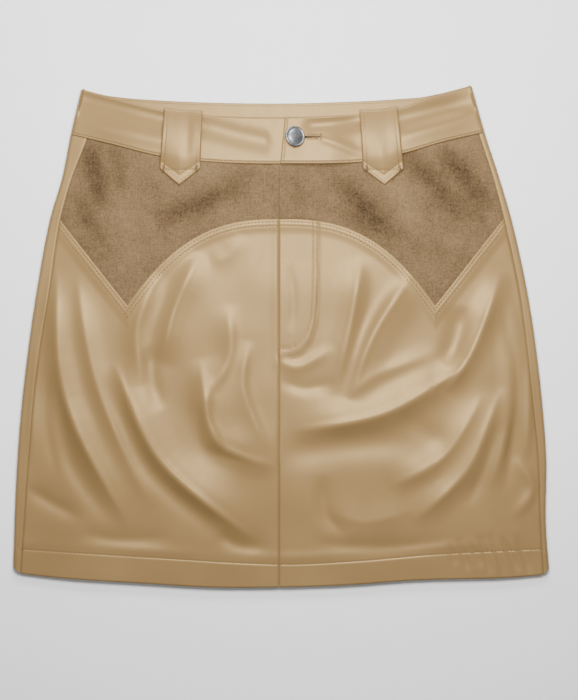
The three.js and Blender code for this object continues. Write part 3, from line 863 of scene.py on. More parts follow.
@dataclass
class Stitching:
    """Rows of stitches that Geometry Nodes lay along their paths."""

    name: str
    slot: str
    rows: list[Seam] = field(default_factory=list)
    length: float = 2.3
    width: float = 0.62
    seed: int = SEED

    def tree(self, material: bpy.types.Material, pitch: float) -> tuple[bpy.types.NodeTree, dict[str, float]]:
        """Builds the node tree that sets stitches along curves.

        Args:
            material: The thread.
            pitch: Metres from one stitch to the next.

        Returns:
            The tree, and the value of each of its named inputs.
        """
        tree = bpy.data.node_groups.new(f"{self.name}_stitches", "GeometryNodeTree")
        face = tree.interface
        face.new_socket("Geometry", in_out="INPUT", socket_type="NodeSocketGeometry")
        sizes = {"Pitch": pitch, "Length": self.length * MM, "Width": self.width * MM}
        for key in sizes:
            face.new_socket(key, in_out="INPUT", socket_type="NodeSocketFloat")
        face.new_socket("Seed", in_out="INPUT", socket_type="NodeSocketInt")
        face.new_socket("Geometry", in_out="OUTPUT", socket_type="NodeSocketGeometry")
        nodes, links = tree.nodes, tree.links
        start, end = nodes.new("NodeGroupInput"), nodes.new("NodeGroupOutput")

        to_curve = nodes.new("GeometryNodeMeshToCurve")
        resample = nodes.new("GeometryNodeResampleCurve")
        resample.mode = "LENGTH"
        ball = nodes.new("GeometryNodeMeshUVSphere")
        ball.inputs["Segments"].default_value = 7
        ball.inputs["Rings"].default_value = 5
        ball.inputs["Radius"].default_value = 0.5
        size = nodes.new("ShaderNodeCombineXYZ")
        shape = nodes.new("GeometryNodeTransform")
        tangent = nodes.new("GeometryNodeInputTangent")
        align = nodes.new("FunctionNodeAlignRotationToVector")
        align.axis = "X"
        uneven = nodes.new("FunctionNodeRandomValue")
        uneven.data_type = "FLOAT"
        low, high = (s for s in uneven.inputs if s.name in ("Min", "Max") and s.type == "VALUE" and s.enabled)
        low.default_value, high.default_value = 0.88, 1.08
        placed = nodes.new("GeometryNodeInstanceOnPoints")
        realize = nodes.new("GeometryNodeRealizeInstances")
        paint = nodes.new("GeometryNodeSetMaterial")
        paint.inputs["Material"].default_value = material
        pairs = (
            (start.outputs["Geometry"], to_curve.inputs["Mesh"]),
            (to_curve.outputs["Curve"], resample.inputs["Curve"]),
            (start.outputs["Pitch"], resample.inputs["Length"]),
            (start.outputs["Length"], size.inputs["X"]),
            (start.outputs["Width"], size.inputs["Y"]),
            (start.outputs["Width"], size.inputs["Z"]),
            (ball.outputs["Mesh"], shape.inputs["Geometry"]),
            (size.outputs["Vector"], shape.inputs["Scale"]),
            (tangent.outputs["Tangent"], align.inputs["Vector"]),
            (start.outputs["Seed"], uneven.inputs["Seed"]),
            (resample.outputs["Curve"], placed.inputs["Points"]),
            (shape.outputs["Geometry"], placed.inputs["Instance"]),
            (align.outputs["Rotation"], placed.inputs["Rotation"]),
            (next(s for s in uneven.outputs if s.enabled), placed.inputs["Scale"]),
            (placed.outputs["Instances"], realize.inputs["Geometry"]),
            (realize.outputs["Geometry"], paint.inputs["Geometry"]),
            (paint.outputs["Geometry"], end.inputs["Geometry"]),
        )
        for a, b in pairs:
            links.new(a, b)
        return tree, {**sizes, "Seed": self.seed}

    def build(self, thread: bpy.types.Material) -> bpy.types.Object:
        """Lays every row and returns them as one piece."""
        parts = [self.laid(thread, pitch) for pitch in sorted({row.pitch for row in self.rows})]
        points, faces, first = [], [], 0
        for mesh in parts:
            points += [v.co[:] for v in mesh.vertices]
            faces += [[first + i for i in p.vertices] for p in mesh.polygons]
            first = len(points)
        piece = mesh_object(self.name, np.array(points), faces)
        return dress(piece, thread)

    def laid(self, thread: bpy.types.Material, pitch: float) -> bpy.types.Mesh:
        """Returns the stitches of every row with this pitch as a plain mesh."""
        points, edges = [], []
        for row in self.rows:
            if row.pitch == pitch:
                first = len(points)
                points += (row.points * MM).tolist()
                edges += [(i, i + 1) for i in range(first, len(points) - 1)]
        guide = mesh_object(f"{self.name}_guide", np.array(points), [], edges)
        tree, values = self.tree(thread, pitch * MM)
        live = guide.modifiers.new("stitches", "NODES")
        live.node_group = tree
        for item in tree.interface.items_tree:
            if item.name in values:
                live[item.identifier] = values[item.name]
        evaluated = guide.evaluated_get(bpy.context.evaluated_depsgraph_get())
        mesh = bpy.data.meshes.new_from_object(evaluated)
        guide.modifiers.remove(live)
        bpy.data.objects.remove(guide)
        return mesh


LIP_ROWS = (2.6, 5.7)


@dataclass
class FrontPanel:
    """The lower front in leather on one side, turned over the suede along the yoke's line."""

    form: Form
    half: Half
    wall: float = 0.85
    hem_wall: float = 1.9
    seam_gap: float = 0.12
    under_lap: float = 3.0

    def fly_edge(self, y: Array) -> Array:
        """Returns the x of the edge at the fly, which on the left runs on under the right."""
        form = self.form
        if self.half is Half.RIGHT:
            return form.fly_x + self.seam_gap / 2 + 0 * y
        return form.fly_x - self.seam_gap / 2 + self.under_lap * ease(y, -12, -4)

    def seam(self, y: Array) -> Array:
        """Returns the x of the side seam."""
        line = self.form.right_seam if self.half is Half.RIGHT else self.form.left_seam
        return line(y) - self.half.value * self.seam_gap / 2

    def height(self, x: Array, y: Array) -> Array:
        """Returns the height of the upper face."""
        form = self.form
        down = form.below_yoke(x, y)
        z = form.body_height + form.rise(x, y)
        z += form.edge_lift * ease(down, 13.0, 3.0) - rounding(down, 0.8, 0.45)
        z -= sum(0.1 * bump(down - row, 0.7) for row in LIP_ROWS)
        above_hem = y - form.hem_stitch(x)
        z -= 0.26 * bump(above_hem, 0.7)
        z += 0.18 * ease(above_hem, 1.6, -1.6)
        z += (0.35 + 0.25 * np.sin(x * 0.05 + 1)) * bump(above_hem - 6.0, 4.0)
        z += folded(HEM_PUCKERS, x, y)
        z -= rounding(y - form.front_hem(x), 1.3, 0.8)
        z -= rounding(np.abs(self.seam(y) - x), 1.6, 0.6)
        if self.half is Half.RIGHT:
            z += form.fly(x, y) - rounding(x - form.fly_x, 1.1, 0.5)
            z -= 0.25 * bump(x - form.fly_x, 2.0) * ease(y, -18, -30)
        else:
            z -= 0.5 * bump(x - form.fly_x + 9, 6.0) * ease(y, -60, 0)
            z -= rounding(form.fly_x - x, 2.6, 1.0)
        return z

    def columns(self) -> Array:
        """Returns the places of the columns, from 0 at the fly to 1 at the side seam."""
        tip_x, tip_y = self.form.yoke_point
        fly = self.half.value * self.form.fly_x
        tip = (tip_x - fly) / (abs(float(self.seam(np.array(tip_y)))) - fly)
        stops = (0, 0.01, 0.112, 0.155, tip - 0.03, tip, tip + 0.03, 0.985, 1)
        return Runs(stops, (4, 16, 14, 56, 9, 9, 40, 4)).values()

    def surface(self) -> Array:
        """Returns the grid of points of the upper face."""
        form = self.form
        u = self.columns()[:, None]
        lip = Runs((0, 0.9, 2.0, 3.2, 5.1, 6.3, 10), (3, 3, 5, 4, 5, 4)).values()
        main = np.linspace(0, 1, 142)[1:]
        hem = Runs((3.0, 0.9, -0.9, -3.0), (3, 5, 3)).values()[1:]
        turn = Runs((0, 0.9, 1), (9, 5)).values()[1:]
        tags = np.concatenate([np.full(len(v), k) for k, v in enumerate((lip, main, hem, turn))])
        values = np.concatenate([lip, main, hem, turn])[None, :]

        def line(y: Array) -> Array:
            return mixed(self.fly_edge(y), self.seam(y), u)

        def edge(x: Array) -> Array:
            lipped = form.yoke_line(x, self.seam_gap + values)
            lip_end = form.yoke_line(x, self.seam_gap + 10)
            stitch = form.hem_stitch(x)
            middle = mixed(lip_end, stitch + 3.0, values)
            last = mixed(stitch - 3.0, form.front_hem(x), values)
            return np.choose(tags[None, :] + 0 * x.astype(int), [lipped, middle, stitch + values, last])

        start = np.zeros((len(u), values.shape[1]))
        x, y = settled(line, edge, start)
        return np.stack([x, y, self.height(x, y)], axis=2)

    def build(self, finishes: Finishes) -> bpy.types.Object:
        """Makes the panel."""
        outer = self.surface()
        normal = normals_of(outer)
        normal *= np.sign(normal[:, :, 2:])
        hem = outer[:, :, 1] < self.form.hem_stitch(outer[:, :, 0]) - 0.5
        wall = np.where(hem, self.hem_wall, self.wall)[:, :, None]
        name = f"front_{self.half.name.lower()}"
        piece = shell(f"{name}_leather", outer, outer - normal * wall)
        return dress(piece, finishes.leather, name)

    def on_cloth(self, path: Array, sink: float = 0.12) -> Array:
        """Returns a plane path laid on the upper face, a little sunk."""
        x, y = path[:, 0], path[:, 1]
        return np.stack([x, y, self.height(x, y) - sink], axis=1)

    def seams(self) -> list[Seam]:
        """Returns the rows of topstitching on the panel."""
        form, sign = self.form, self.half.value
        rows = []
        point = form.yoke_point[0]
        for down in LIP_ROWS:
            fly_end = 2.4 if self.half is Half.RIGHT else 0.6
            for start, end in ((fly_end, point), (point, 178.5 - down * 0.2)):
                x = sign * np.linspace(start, end, 160)
                y = form.yoke_line(x, self.seam_gap + down)
                keep = np.abs(x) < np.abs(self.seam(y)) - 1.5
                rows.append(Seam(self.on_cloth(np.stack([x, y], axis=1)[keep])))
        x = np.linspace(self.fly_edge(np.array(-186.0)) + sign * 1.5, sign * 211.0, 220)
        rows.append(Seam(self.on_cloth(np.stack([x, form.hem_stitch(x)], axis=1)), 3.3))
        if self.half is Half.RIGHT:
            for path in (form.fly_inner, form.fly_outer):
                p = path.spaced(1.0)
                p = p[p[:, 1] < form.yoke_line(p[:, 0]) - 1.0]
                rows.append(Seam(self.on_cloth(p), 2.6))
        return rows


@dataclass
class Yoke:
    """A hip yoke in suede, from the waistband to the leather's turned edge."""

    form: Form
    half: Half
    wall: float = 0.8
    tuck: float = 2.6
    seam_gap: float = 0.12

    def height(self, x: Array, y: Array) -> Array:
        """Returns the height of the upper face."""
        form = self.form
        z = form.body_height + form.rise(x, y) + folded(SUEDE_FOLDS, x, y)
        z -= rounding(form.front_band_seam(x) - y, 2.2, 0.5)
        seam = form.right_seam(y) if self.half is Half.RIGHT else form.left_seam(y)
        z -= rounding(np.abs(seam - x), 1.6, 0.6)
        down = form.below_yoke(x, y)
        z -= 0.35 * ease(down, -3.0, 0.5)
        if self.half is Half.RIGHT:
            z += form.fly(x, y) * ease(down, 1.0, -1.0) - rounding(x - form.fly_x, 1.1, 0.45)
        else:
            z -= 0.5 * bump(x - form.fly_x + 8, 6.0) + rounding(form.fly_x - x, 2.6, 0.9)
        return z

    def build(self, finishes: Finishes) -> bpy.types.Object:
        """Makes the yoke."""
        form, sign = self.form, self.half.value
        gap = self.seam_gap / 2
        u = Runs((0, 0.015, 0.115, 0.16, 0.985, 1), (4, 16, 12, 86, 4)).values()[:, None]
        v = Runs((0, 0.02, 0.97, 1), (4, 78, 4)).values()[None, :]

        def line(y: Array) -> Array:
            seam = form.right_seam(y) if sign > 0 else form.left_seam(y)
            start = form.fly_x + gap if sign > 0 else form.fly_x - gap + 3.0
            return mixed(start + 0 * y, seam - sign * gap, u)

        def edge(x: Array) -> Array:
            return mixed(form.front_band_seam(x) - gap, form.yoke_line(x) - self.tuck, v)

        x, y = settled(line, edge, np.full((len(u), v.shape[1]), 120.0))
        outer = np.stack([x, y, self.height(x, y)], axis=2)
        normal = normals_of(outer)
        normal *= np.sign(normal[:, :, 2:])
        name = f"yoke_{self.half.name.lower()}"
        piece = shell(f"{name}_suede", outer, outer - normal * self.wall)
        # The suede folds' heights go onto the mesh for the material's painted shade in fold troughs and painted
        # light on fold ridges.
        nap_and_fold_shade = np.tile(folded(SUEDE_FOLDS, x, y).ravel(), 2)
        brushed = piece.data.attributes.new("brushed", "FLOAT", "POINT")
        brushed.data.foreach_set("value", nap_and_fold_shade.astype(np.float32))
        return dress(piece, finishes.suede, name)

    def seams(self) -> list[Seam]:
        """Returns the rows of the fly that run over the suede."""
        if self.half is Half.LEFT:
            return []
        rows = []
        for path in (self.form.fly_inner, self.form.fly_outer):
            p = path.spaced(1.0)
            below_band = p[:, 1] < self.form.front_band_seam(p[:, 0]) - 1.0
            p = p[below_band & (p[:, 1] > self.form.yoke_line(p[:, 0]) + 0.5)]
            z = self.height(p[:, 0], p[:, 1]) - 0.1
            rows.append(Seam(np.stack([p[:, 0], p[:, 1], z], axis=1), 2.6))
        return rows


@dataclass
class BackPanel:
    """The back in one piece, folded round both sides onto the front."""

    form: Form
    wall: float = 0.9
    hem_wall: float = 1.9
    seam_gap: float = 0.12

    def build(self, finishes: Finishes) -> bpy.types.Object:
        """Makes the panel."""
        form = self.form
        radius, gap = form.body_height / 2, self.seam_gap / 2
        turns = np.linspace(0, np.pi, 15)[1:-1]
        strip = Runs((0, 0.3, 1), (6, 6)).values()
        under = np.linspace(0, 1, 48)
        count = (len(strip), len(turns), len(under), len(turns), len(strip))
        part = np.repeat(np.arange(5), count)[:, None]
        value = np.concatenate([strip, turns, under, turns[::-1], strip[::-1]])[:, None]
        on_top = (part == 0) | (part == 4) | (((part == 1) | (part == 3)) & (value <= np.pi / 2))
        v = np.concatenate([np.linspace(0, 0.93, 150), Runs((0.945, 0.985, 1), (8, 5)).values()])[None, :]

        def line(y: Array) -> Array:
            left, right = form.left_fold(y), form.right_fold(y)
            return np.choose(
                part + 0 * y.astype(int),
                [
                    mixed(form.left_seam(y) - gap, left + radius, value),
                    left - radius * (np.sin(value) - 1),
                    mixed(left + radius, right - radius, value),
                    right + radius * (np.sin(value) - 1),
                    mixed(form.right_seam(y) + gap, right - radius, value),
                ],
            )

        def edge(x: Array) -> Array:
            top = np.where(on_top, form.front_band_seam(x), form.back_band_seam(x)) - gap
            hem = np.where(on_top, form.front_hem(x), form.back_hem(x))
            return mixed(top, hem, v)

        x, y = settled(line, edge, np.zeros((len(value), v.shape[1])))
        turn = np.select([on_top & (part % 4 == 0), part == 2], [0.0 * value, np.pi + 0.0 * value], value)
        z = radius * (1 + np.cos(turn)) + 0 * x
        outward = np.where(part <= 1, -1, 1) + 0 * x
        top_rise = form.rise(x, y)
        seam = np.where(part == 0, x - form.left_seam(y), form.right_seam(y) - x)
        z += np.where(part % 4 == 0, top_rise - rounding(np.abs(seam), 1.6, 0.6), 0.0)
        above_hem = y - form.hem_stitch(x)
        relief = -0.35 * bump(above_hem, 0.8) + 0.2 * ease(above_hem, 1.2, -1.2)
        z += np.where(part % 4 == 0, relief, 0.0)
        shift = np.where((part == 1) | (part == 3), np.sin(turn), 0.0) * outward * relief
        outer = np.stack([x + shift, y, z], axis=2)
        normal = np.stack([outward * np.sin(turn), 0 * x, np.cos(turn) + 0 * x], axis=2)
        wall = np.where(above_hem < -0.5, self.hem_wall, self.wall)[:, :, None]
        piece = shell("back_leather", outer, outer - normal * wall)
        return dress(piece, finishes.leather, "back")

    def seams(self) -> list[Seam]:
        """Returns the hem's stitches on the strips at the sides."""
        form = self.form
        rows = []
        for seam, fold, sign in ((form.left_seam, form.left_fold, -1), (form.right_seam, form.right_fold, 1)):
            y = np.array(-173.6)
            x = np.linspace(seam(y) + sign * 0.8, fold(y) - sign * 2.0, 12)
            z = form.body_height + 0 * x
            rows.append(Seam(np.stack([x, form.hem_stitch(x), z - 0.25], axis=1), 3.3))
        return rows


@dataclass
class Waistband:
    """One long doubled strip, whose upper end laps the under one with an eyelet buttonhole."""

    form: Form
    wall: float = 2.3
    seam_gap: float = 0.12
    button: Point = (11.4, 162.8)
    slit: float = 20.0

    def lap_edge(self, y: Array) -> Array:
        """Returns the x of the upper end's edge."""
        return mixed(-0.6 + 0 * y, 3.0 + 0 * y, (y - 142.0) / 37.0)

    def height(self, x: Array, y: Array, upper: bool = True) -> Array:
        """Returns the height of the band's face on top of the skirt.

        Args:
            x: Places across.
            y: Places up.
            upper: Whether it is the upper end, at the fly and to its right, or the under one.

        Returns:
            The height at each place.
        """
        form = self.form
        base = form.band_height + form.rise(x, y, False) + 0.25 * form.ripple.lift(x, y)
        folds = folded(BAND_FOLDS, x, y)
        if upper:
            z = base + folds * ease(x, 10, 26)
            z += form.lap_rise * ease(x, form.lap_length + form.lap_fade, form.lap_length + 4)
            end = x - self.lap_edge(y)
            z -= rounding(end, 1.2, 0.7) + 0.28 * bump(end - 2.1, 0.5)
        else:
            z = base + folds * ease(x, -2, -14)
            z -= form.lap_sink * ease(x, form.fly_x - 10, form.fly_x)
        seam, top = y - form.front_band_seam(x), form.front_top(x) - y
        z -= rounding(seam, 1.0, 0.7) + 0.28 * bump(seam - 1.9, 0.5)
        z -= rounding(top, 1.6, 1.0)
        return z

    def build(self, finishes: Finishes) -> bpy.types.Object:
        """Makes the band and cuts its buttonhole."""
        form = self.form
        radius, gap = form.band_height / 2, self.seam_gap / 2
        turns = np.linspace(0, np.pi, 15)[1:-1]
        under_end = np.linspace(0, 1, 20, endpoint=False)
        left_run = np.linspace(0, 1, 120)
        back_run = np.linspace(0, 1, 60)
        right_run = np.linspace(0, 1, 90)
        upper_end = Runs((0, 0.82, 0.97, 1), (34, 8, 4)).values()[1:]
        values = (under_end, left_run, turns, back_run, turns[::-1], right_run, upper_end)
        part = np.repeat(np.arange(7), [len(v) for v in values])[:, None]
        value = np.concatenate(values)[:, None]
        turning = (part == 2) | (part == 4)
        on_top = (part < 2) | (part > 4) | (turning & (value <= np.pi / 2))
        v = Runs((0, 0.05, 0.92, 0.975, 1), (6, 20, 8, 4)).values()[None, :]

        def line(y: Array) -> Array:
            left, right = form.left_fold(y), form.right_fold(y)
            fly, lap = form.fly_x + 0 * y, form.lap_length + 0 * y
            return np.choose(
                part + 0 * y.astype(int),
                [
                    mixed(fly + form.lap_length, fly, value),
                    mixed(fly, left + radius, value),
                    left - radius * (np.sin(value) - 1),
                    mixed(left + radius, right - radius, value),
                    right + radius * (np.sin(value) - 1),
                    mixed(right - radius, lap, value),
                    mixed(lap, self.lap_edge(y), value),
                ],
            )

        def edge(x: Array) -> Array:
            top = np.where(on_top, form.front_top(x), form.back_top(x))
            seam = np.where(on_top, form.front_band_seam(x), form.back_band_seam(x)) + gap
            return mixed(top, seam, v)

        x, y = settled(line, edge, np.full((len(value), v.shape[1]), 170.0))
        turn = np.select([turning, part == 3], [value, np.pi + 0 * value], 0 * value)
        z = radius * (1 + np.cos(turn)) + 0 * x
        z = np.where(part > 4, self.height(x, y), z)
        z = np.where(part < 2, self.height(x, y, False), z)
        side = np.where(part <= 2, -1, 1)
        seam = y - np.where(on_top, form.front_band_seam(x), form.back_band_seam(x))
        top = np.where(on_top, form.front_top(x), form.back_top(x)) - y
        worn = -(rounding(seam, 1.0, 0.7) + 0.28 * bump(seam - 1.9, 0.5) + rounding(top, 1.6, 1.0))
        z += np.where(turning, np.cos(turn) * worn, 0.0) - np.where(part == 3, 0.3 * worn, 0.0)
        x = x + np.where(turning, np.sin(turn) * side * worn, 0.0)
        outer = np.stack([x, y, z], axis=2)
        tilt = normals_of(outer)
        tilt *= np.sign(tilt[:, :, 2:])
        flat = np.stack([side * np.sin(turn) + 0 * x, 0 * x, np.cos(turn) + 0 * x], axis=2)
        normal = np.where(((part < 2) | (part > 4))[:, :, None], tilt, flat)
        inner = outer - normal * self.wall
        edge_tuck = rounding(np.minimum(seam, top), 1.0, 0.4)[:, :, None]
        piece = shell("waistband_leather", outer, inner + normal * edge_tuck)
        self.cut_buttonhole(piece)
        return dress(piece, finishes.leather, "waistband")

    def cut_buttonhole(self, piece: bpy.types.Object) -> None:
        """Cuts the eyelet and its slit through the upper end alone."""
        bx, by = self.button
        ring = np.linspace(0.3, 2 * np.pi - 0.3, 22)
        outline = [(bx + 2.6 * math.cos(a), by + 2.6 * math.sin(a)) for a in ring]
        outline += [(bx + self.slit, by - 0.45), (bx + self.slit, by + 0.45)]
        n = len(outline)
        low, high = 6.45, 14.0
        points = [(x, y, z) for z in (low, high) for x, y in outline]
        faces = [list(range(n))[::-1], list(range(n, 2 * n))]
        faces += [[i, (i + 1) % n, n + (i + 1) % n, n + i] for i in range(n)]
        cutter = mesh_object("buttonhole_cutter", np.array(points) * MM, faces)
        live = piece.modifiers.new("buttonhole", "BOOLEAN")
        live.operation, live.solver, live.object = "DIFFERENCE", "EXACT", cutter
        evaluated = piece.evaluated_get(bpy.context.evaluated_depsgraph_get())
        mesh = bpy.data.meshes.new_from_object(evaluated)
        piece.modifiers.remove(live)
        bpy.data.objects.remove(cutter)
        piece.data = mesh

    def seams(self) -> list[Seam]:
        """Returns the band's topstitching, on the front and along the back's upper edge."""
        form = self.form
        rows = []
        for x, upper in ((np.linspace(-168, -2.5, 260), False), (np.linspace(1.6, 163.5, 260), True)):
            y = form.front_band_seam(x) + 1.9
            rows.append(Seam(np.stack([x, y, self.height(x, y, upper) - 0.06], axis=1), 2.7))
        y = np.linspace(144, 177, 50)
        x = self.lap_edge(y) + 2.1
        rows.append(Seam(np.stack([x, y, self.height(x, y) - 0.06], axis=1), 2.7))
        x = np.linspace(-132, 116, 260)
        rows.append(Seam(np.stack([x, form.back_top(x) - 2.0, 0 * x + self.wall + 0.02], axis=1), 2.7))
        return rows

    def buttonhole_seams(self) -> list[Seam]:
        """Returns the close stitches across the slit's edges and the bar at its end."""
        bx, by = self.button
        rows = []
        for k in range(14):
            x = bx + 9.4 + 0.72 * k
            for sign in (-1, 1):
                y = np.array([by + sign * 0.55, by + sign * 1.9])
                xs = np.array([x, x + 0.12])
                rows.append(Seam(np.stack([xs, y, self.height(xs, y) + 0.02], axis=1), 1.4))
        for k in range(4):
            y = np.linspace(by - 2.3, by + 2.3, 6)
            xs = bx + self.slit + 0.3 + 0.5 * k + 0 * y
            rows.append(Seam(np.stack([xs, y, self.height(xs, y) + 0.05], axis=1), 1.4))
        return rows


@dataclass
class BeltLoop:
    """A wide loop, folded over the band's upper edge and sewn down in a point on the suede."""

    form: Form
    name: str
    top_x: float
    foot_x: float
    wall: float = 1.9
    half_width: float = 15.5
    flare: float = 1.5
    point_y: float = 123.5
    point_rise: float = 13.5
    stand: float = 2.2
    sewn_from: float = 0.86
    clearance: float = 0.4
    crease: float = 0.2

    def line(self, share: Array, v: Array) -> tuple[Array, Array, Array]:
        """Finds the loop's inner face.

        Args:
            share: Places across, from -1 to 1.
            v: Places down, from 0 at the fold over the band to 1 at the point.

        Returns:
            The x, y and height of the inner face.
        """
        form = self.form
        top_y = form.front_top(np.array(self.top_x))
        top_edge = np.maximum(form.front_top(self.top_x + share * self.half_width), top_y)
        point = self.point_y + self.point_rise * np.abs(share)
        y = mixed(top_edge - 1.2, point, v)
        down = (top_y - y) / (top_y - self.point_y)
        x = mixed(self.top_x, self.foot_x, down) + share * (self.half_width + self.flare * np.clip(down, 0, 1))
        on_band = ease(y, form.front_band_seam(x) - 12, form.front_band_seam(x) + 4)
        face = mixed(form.body_height + 0 * y, form.band_height + 0 * y, on_band) + form.rise(x, y, False)
        arch = np.sin(np.pi * np.clip(v / self.sewn_from, 0, 1)) ** 0.8
        return x, y, face + self.clearance + self.stand * arch

    def relief(self, share: Array, y: Array) -> Array:
        """Returns the relief of the loop's outer face: folded edges, cross seam and point."""
        in_side = (1 - np.abs(share)) * self.half_width
        to_point = (y - (self.point_y + self.point_rise * np.abs(share))) * 0.75
        cross = y - (self.point_y + self.point_rise - 1.0)
        edge = np.minimum(in_side, to_point)
        z = -rounding(edge, 1.0, 0.8) - 0.08 * bump(edge - 2.6, 0.7)
        z -= 0.16 * bump(cross, 0.9) * ease(in_side, 1, 3)
        z -= self.crease * bump(share * self.half_width - 4.5, 4.0) * ease(cross, 0, 16)
        return z

    def build(self, finishes: Finishes) -> bpy.types.Object:
        """Makes the loop."""
        share = Runs((-1, -0.9, -0.68, 0.0, 0.68, 0.9, 1), (5, 8, 12, 12, 8, 5)).values()[:, None]
        v = Runs((0, 0.7, 1), (40, 34)).values()[None, :]
        x, y, inner_z = self.line(share, v)
        outer_z = inner_z + self.wall + self.relief(share, y)
        edge_y = self.form.front_top(np.array(self.top_x))
        edge_y = np.maximum(self.form.front_top(x[:, :1]), edge_y)
        face = inner_z[:, :1]
        fold = ((1.9, -2.4, 0.5, -2.4), (1.95, -0.6, 0.55, -0.6), (1.7, 0.8, 0.4, -0.1), (0.9, 1.6, -0.1, 0.0))
        outer_fold = [np.concatenate([x[:, :1], edge_y + a, face + b], axis=1) for a, b, _, _ in fold]
        inner_fold = [np.concatenate([x[:, :1], edge_y + c, face + d], axis=1) for _, _, c, d in fold]
        outer = np.concatenate([np.stack(outer_fold, axis=1), np.stack([x, y, outer_z], axis=2)], axis=1)
        inner = np.concatenate([np.stack(inner_fold, axis=1), np.stack([x, y, inner_z], axis=2)], axis=1)
        piece = shell(f"{self.name}_leather", outer, inner)
        return dress(piece, finishes.leather, self.name)

    def seams(self) -> list[Seam]:
        """Returns the loop's V of stitches, its cross row and its bars."""
        rows = []
        foot = self.point_y + self.point_rise

        def laid(share: Array, y: Array, lift: float = 0.0) -> Array:
            top = self.form.front_top(np.array(self.top_x)) - 1.2
            point = self.point_y + self.point_rise * np.abs(share)
            v = (y - top) / (point - top)
            x, _, z = self.line(share, v)
            return np.stack([x, y, z + self.wall + self.relief(share, y) + lift], axis=1)

        for sign in (-1, 1):
            share = sign * np.linspace(0.02, 0.84, 20)
            y = self.point_y + self.point_rise * np.abs(share) + 2.6
            rows.append(Seam(laid(share, y), 2.3))
            y = np.linspace(foot + 1, self.form.front_top(np.array(self.top_x)) - 3.5, 40)
            rows.append(Seam(laid(sign * (1 - 3.4 / self.half_width) + 0 * y, y), 2.7))
            for k in range(4):
                y = np.linspace(foot - 1.8, foot + 2.2, 4)
                share = sign * (0.86 - 0.035 * k) + 0 * y
                rows.append(Seam(laid(share, y, 0.1), 1.3))
        share = np.linspace(-0.8, 0.8, 30)
        rows.append(Seam(laid(share, foot - 1.0 + 0 * share), 2.3))
        return rows


@dataclass
class Button:
    """A domed cap with a rolled rim, on a post that stands on the band's under end."""

    form: Form
    place: Point = (11.4, 162.8)
    centre_z: float = 13.5
    radius: float = 8.6
    tilt: float = 0.45
    heading: float = 0.3

    def build(self, finishes: Finishes) -> bpy.types.Object:
        """Makes the button."""
        r = self.radius
        rim = [(r - 0.9 + 0.9 * math.cos(a), 0.95 * math.sin(a)) for a in np.linspace(-1.5, 2.2, 12)]
        profile = [(0, -0.95), (r * 0.5, -0.95), *rim]
        profile += [(r - 1.9, 0.62), (r - 2.3, 0.66), (r * 0.6, 1.2), (r * 0.42, 1.5), (r * 0.2, 1.72), (0, 1.8)]
        segments = 56
        points, faces = [], []
        for k in range(segments):
            a = 2 * math.pi * k / segments
            points += [(p * math.cos(a), p * math.sin(a), z) for p, z in profile[1:-1]]
        n = len(profile) - 2
        for k in range(segments):
            a, b = k * n, (k + 1) % segments * n
            faces += [[a + i, b + i, b + i + 1, a + i + 1] for i in range(n - 1)]
        low, high = len(points), len(points) + 1
        points += [(0, 0, profile[0][1]), (0, 0, profile[-1][1])]
        for k in range(segments):
            a, b = k * n, (k + 1) % segments * n
            faces += [[low, b, a], [high, a + n - 1, b + n - 1]]
        bx, by = self.place
        axis = Vector((-math.sin(self.heading), math.cos(self.heading), 0))
        lean = Matrix.Translation((bx, by, self.centre_z)) @ Matrix.Rotation(self.tilt, 4, axis)
        cap = [lean @ Vector(p) for p in points]
        foot = self.form.band_height + self.form.rise(np.array([bx]), np.array([by]), False)[0] - 0.5
        first, sides = len(cap), 20
        for z in (foot, self.centre_z):
            ring = (2 * math.pi * k / sides for k in range(sides))
            cap += [Vector((bx + 2.0 * math.cos(a), by + 2.0 * math.sin(a), z)) for a in ring]
        faces += [
            [first + k, first + (k + 1) % sides, first + sides + (k + 1) % sides, first + sides + k]
            for k in range(sides)
        ]
        faces += [list(range(first, first + sides))[::-1], list(range(first + sides, first + 2 * sides))]
        piece = mesh_object("button_metal", np.array([p[:] for p in cap]) * MM, faces)
        return dress(piece, finishes.metal, "button")


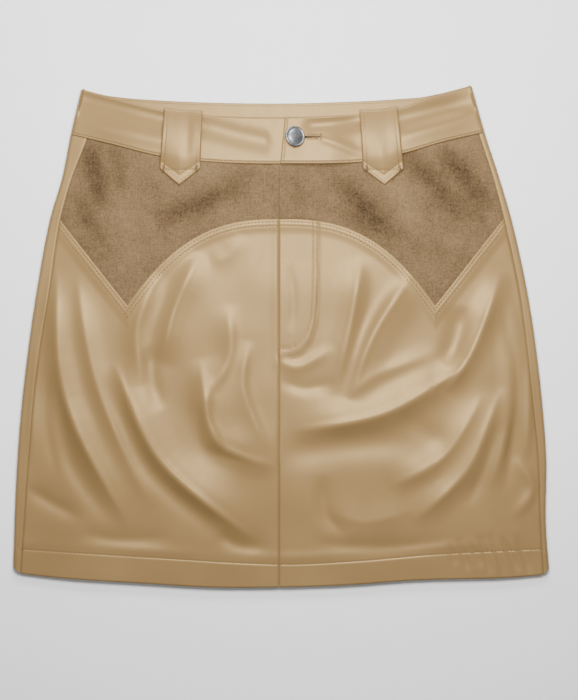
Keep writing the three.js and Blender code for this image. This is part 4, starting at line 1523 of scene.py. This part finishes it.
@dataclass(frozen=True)
class Studio:
    """The floor, the lights and the camera above the skirt."""

    scale: float = 0.82
    frame_px: tuple[int, int] = (578, 700)
    centre_px: Point = (281.25, 336.5)
    distance: float = 1.7

    def build(self) -> None:
        """Makes everything round the skirt."""
        self.floor()
        self.lamp("key", (0.02, 0.2, 0.66), (0.32, 0.24), 9.0)
        self.lamp("head", (0.0, 0.95, 0.62), (0.9, 0.3), 14.0)
        self.lamp("overhead", (0.0, 0.05, 2.0), (1.4, 1.4), 5.0)
        world = bpy.data.worlds.new("studio")
        bpy.context.scene.world = world
        world.use_nodes = True
        world.node_tree.nodes["Background"].inputs["Color"].default_value = (1, 1, 1, 1)
        world.node_tree.nodes["Background"].inputs["Strength"].default_value = 0.24
        self.camera()

    def floor(self) -> None:
        """Lays the floor just under the skirt."""
        half, z = 3.0, -0.0003
        points = np.array([(-half, -half, z), (half, -half, z), (half, half, z), (-half, half, z)])
        floor = mesh_object("floor", points, [[0, 1, 2, 3]])
        floor.data.materials.append(PaleFloor().material())

    def lamp(self, name: str, place: tuple[float, float, float], size: Point, power: float) -> None:
        """Hangs a soft light that points at the skirt.

        Args:
            name: The light's name.
            place: Where it hangs, in metres.
            size: Its width and length in metres.
            power: Its power in watts.
        """
        light = bpy.data.lights.new(name, "AREA")
        light.shape = "RECTANGLE"
        light.size, light.size_y = size
        light.energy = power
        lamp = bpy.data.objects.new(name, light)
        lamp.location = place
        lamp.rotation_mode = "QUATERNION"
        lamp.rotation_quaternion = (-Vector(place)).to_track_quat("-Z", "Y")
        bpy.context.scene.collection.objects.link(lamp)

    def camera(self) -> None:
        """Hangs the camera straight above, framed as the photograph is."""
        wide, tall = (n * self.scale * MM for n in self.frame_px)
        x = (self.frame_px[0] / 2 - self.centre_px[0]) * self.scale * MM
        y = (self.centre_px[1] - self.frame_px[1] / 2) * self.scale * MM
        lens = bpy.data.cameras.new("camera")
        lens.sensor_width = 36.0
        lens.lens = lens.sensor_width * self.distance / max(wide, tall)
        lens.clip_start, lens.clip_end = 0.05, 20.0
        camera = bpy.data.objects.new("camera", lens)
        camera.location = (x, y, self.distance)
        bpy.context.scene.collection.objects.link(camera)
        bpy.context.scene.camera = camera


def write_sizes() -> None:
    """Updates the view layer."""
    bpy.context.view_layer.update()


def main() -> None:
    """Builds the skirt, piece by piece."""
    logging.basicConfig(level=logging.INFO, format="%(name)s %(message)s")
    Studio().build()
    form = Form()
    finishes = Finishes.made()
    back = BackPanel(form)
    back.build(finishes)
    panels = [FrontPanel(form, half) for half in Half]
    yokes = [Yoke(form, half) for half in Half]
    for piece in (*panels, *yokes):
        piece.build(finishes)
    band = Waistband(form)
    band.build(finishes)
    loops = [
        BeltLoop(form, "belt_loop_left", -80.0, -83.5, crease=0.5),
        BeltLoop(form, "belt_loop_right", 79.5, 84.5),
    ]
    for loop in loops:
        loop.build(finishes)
    Button(form).build(finishes)
    panel_rows = [row for piece in (*panels, *yokes, back) for row in piece.seams()]
    Stitching("panel_stitches", "leather", panel_rows).build(finishes.thread)
    Stitching("band_stitches", "leather", band.seams(), 2.0, 0.55).build(finishes.thread)
    loop_rows = [row for loop in loops for row in loop.seams()]
    Stitching("loop_stitches", "leather", loop_rows, 1.9, 0.5).build(finishes.thread)
    Stitching("buttonhole_stitches", "leather", band.buttonhole_seams(), 1.5, 0.42).build(finishes.thread)
    write_sizes()


if __name__ == "__main__":
    main()
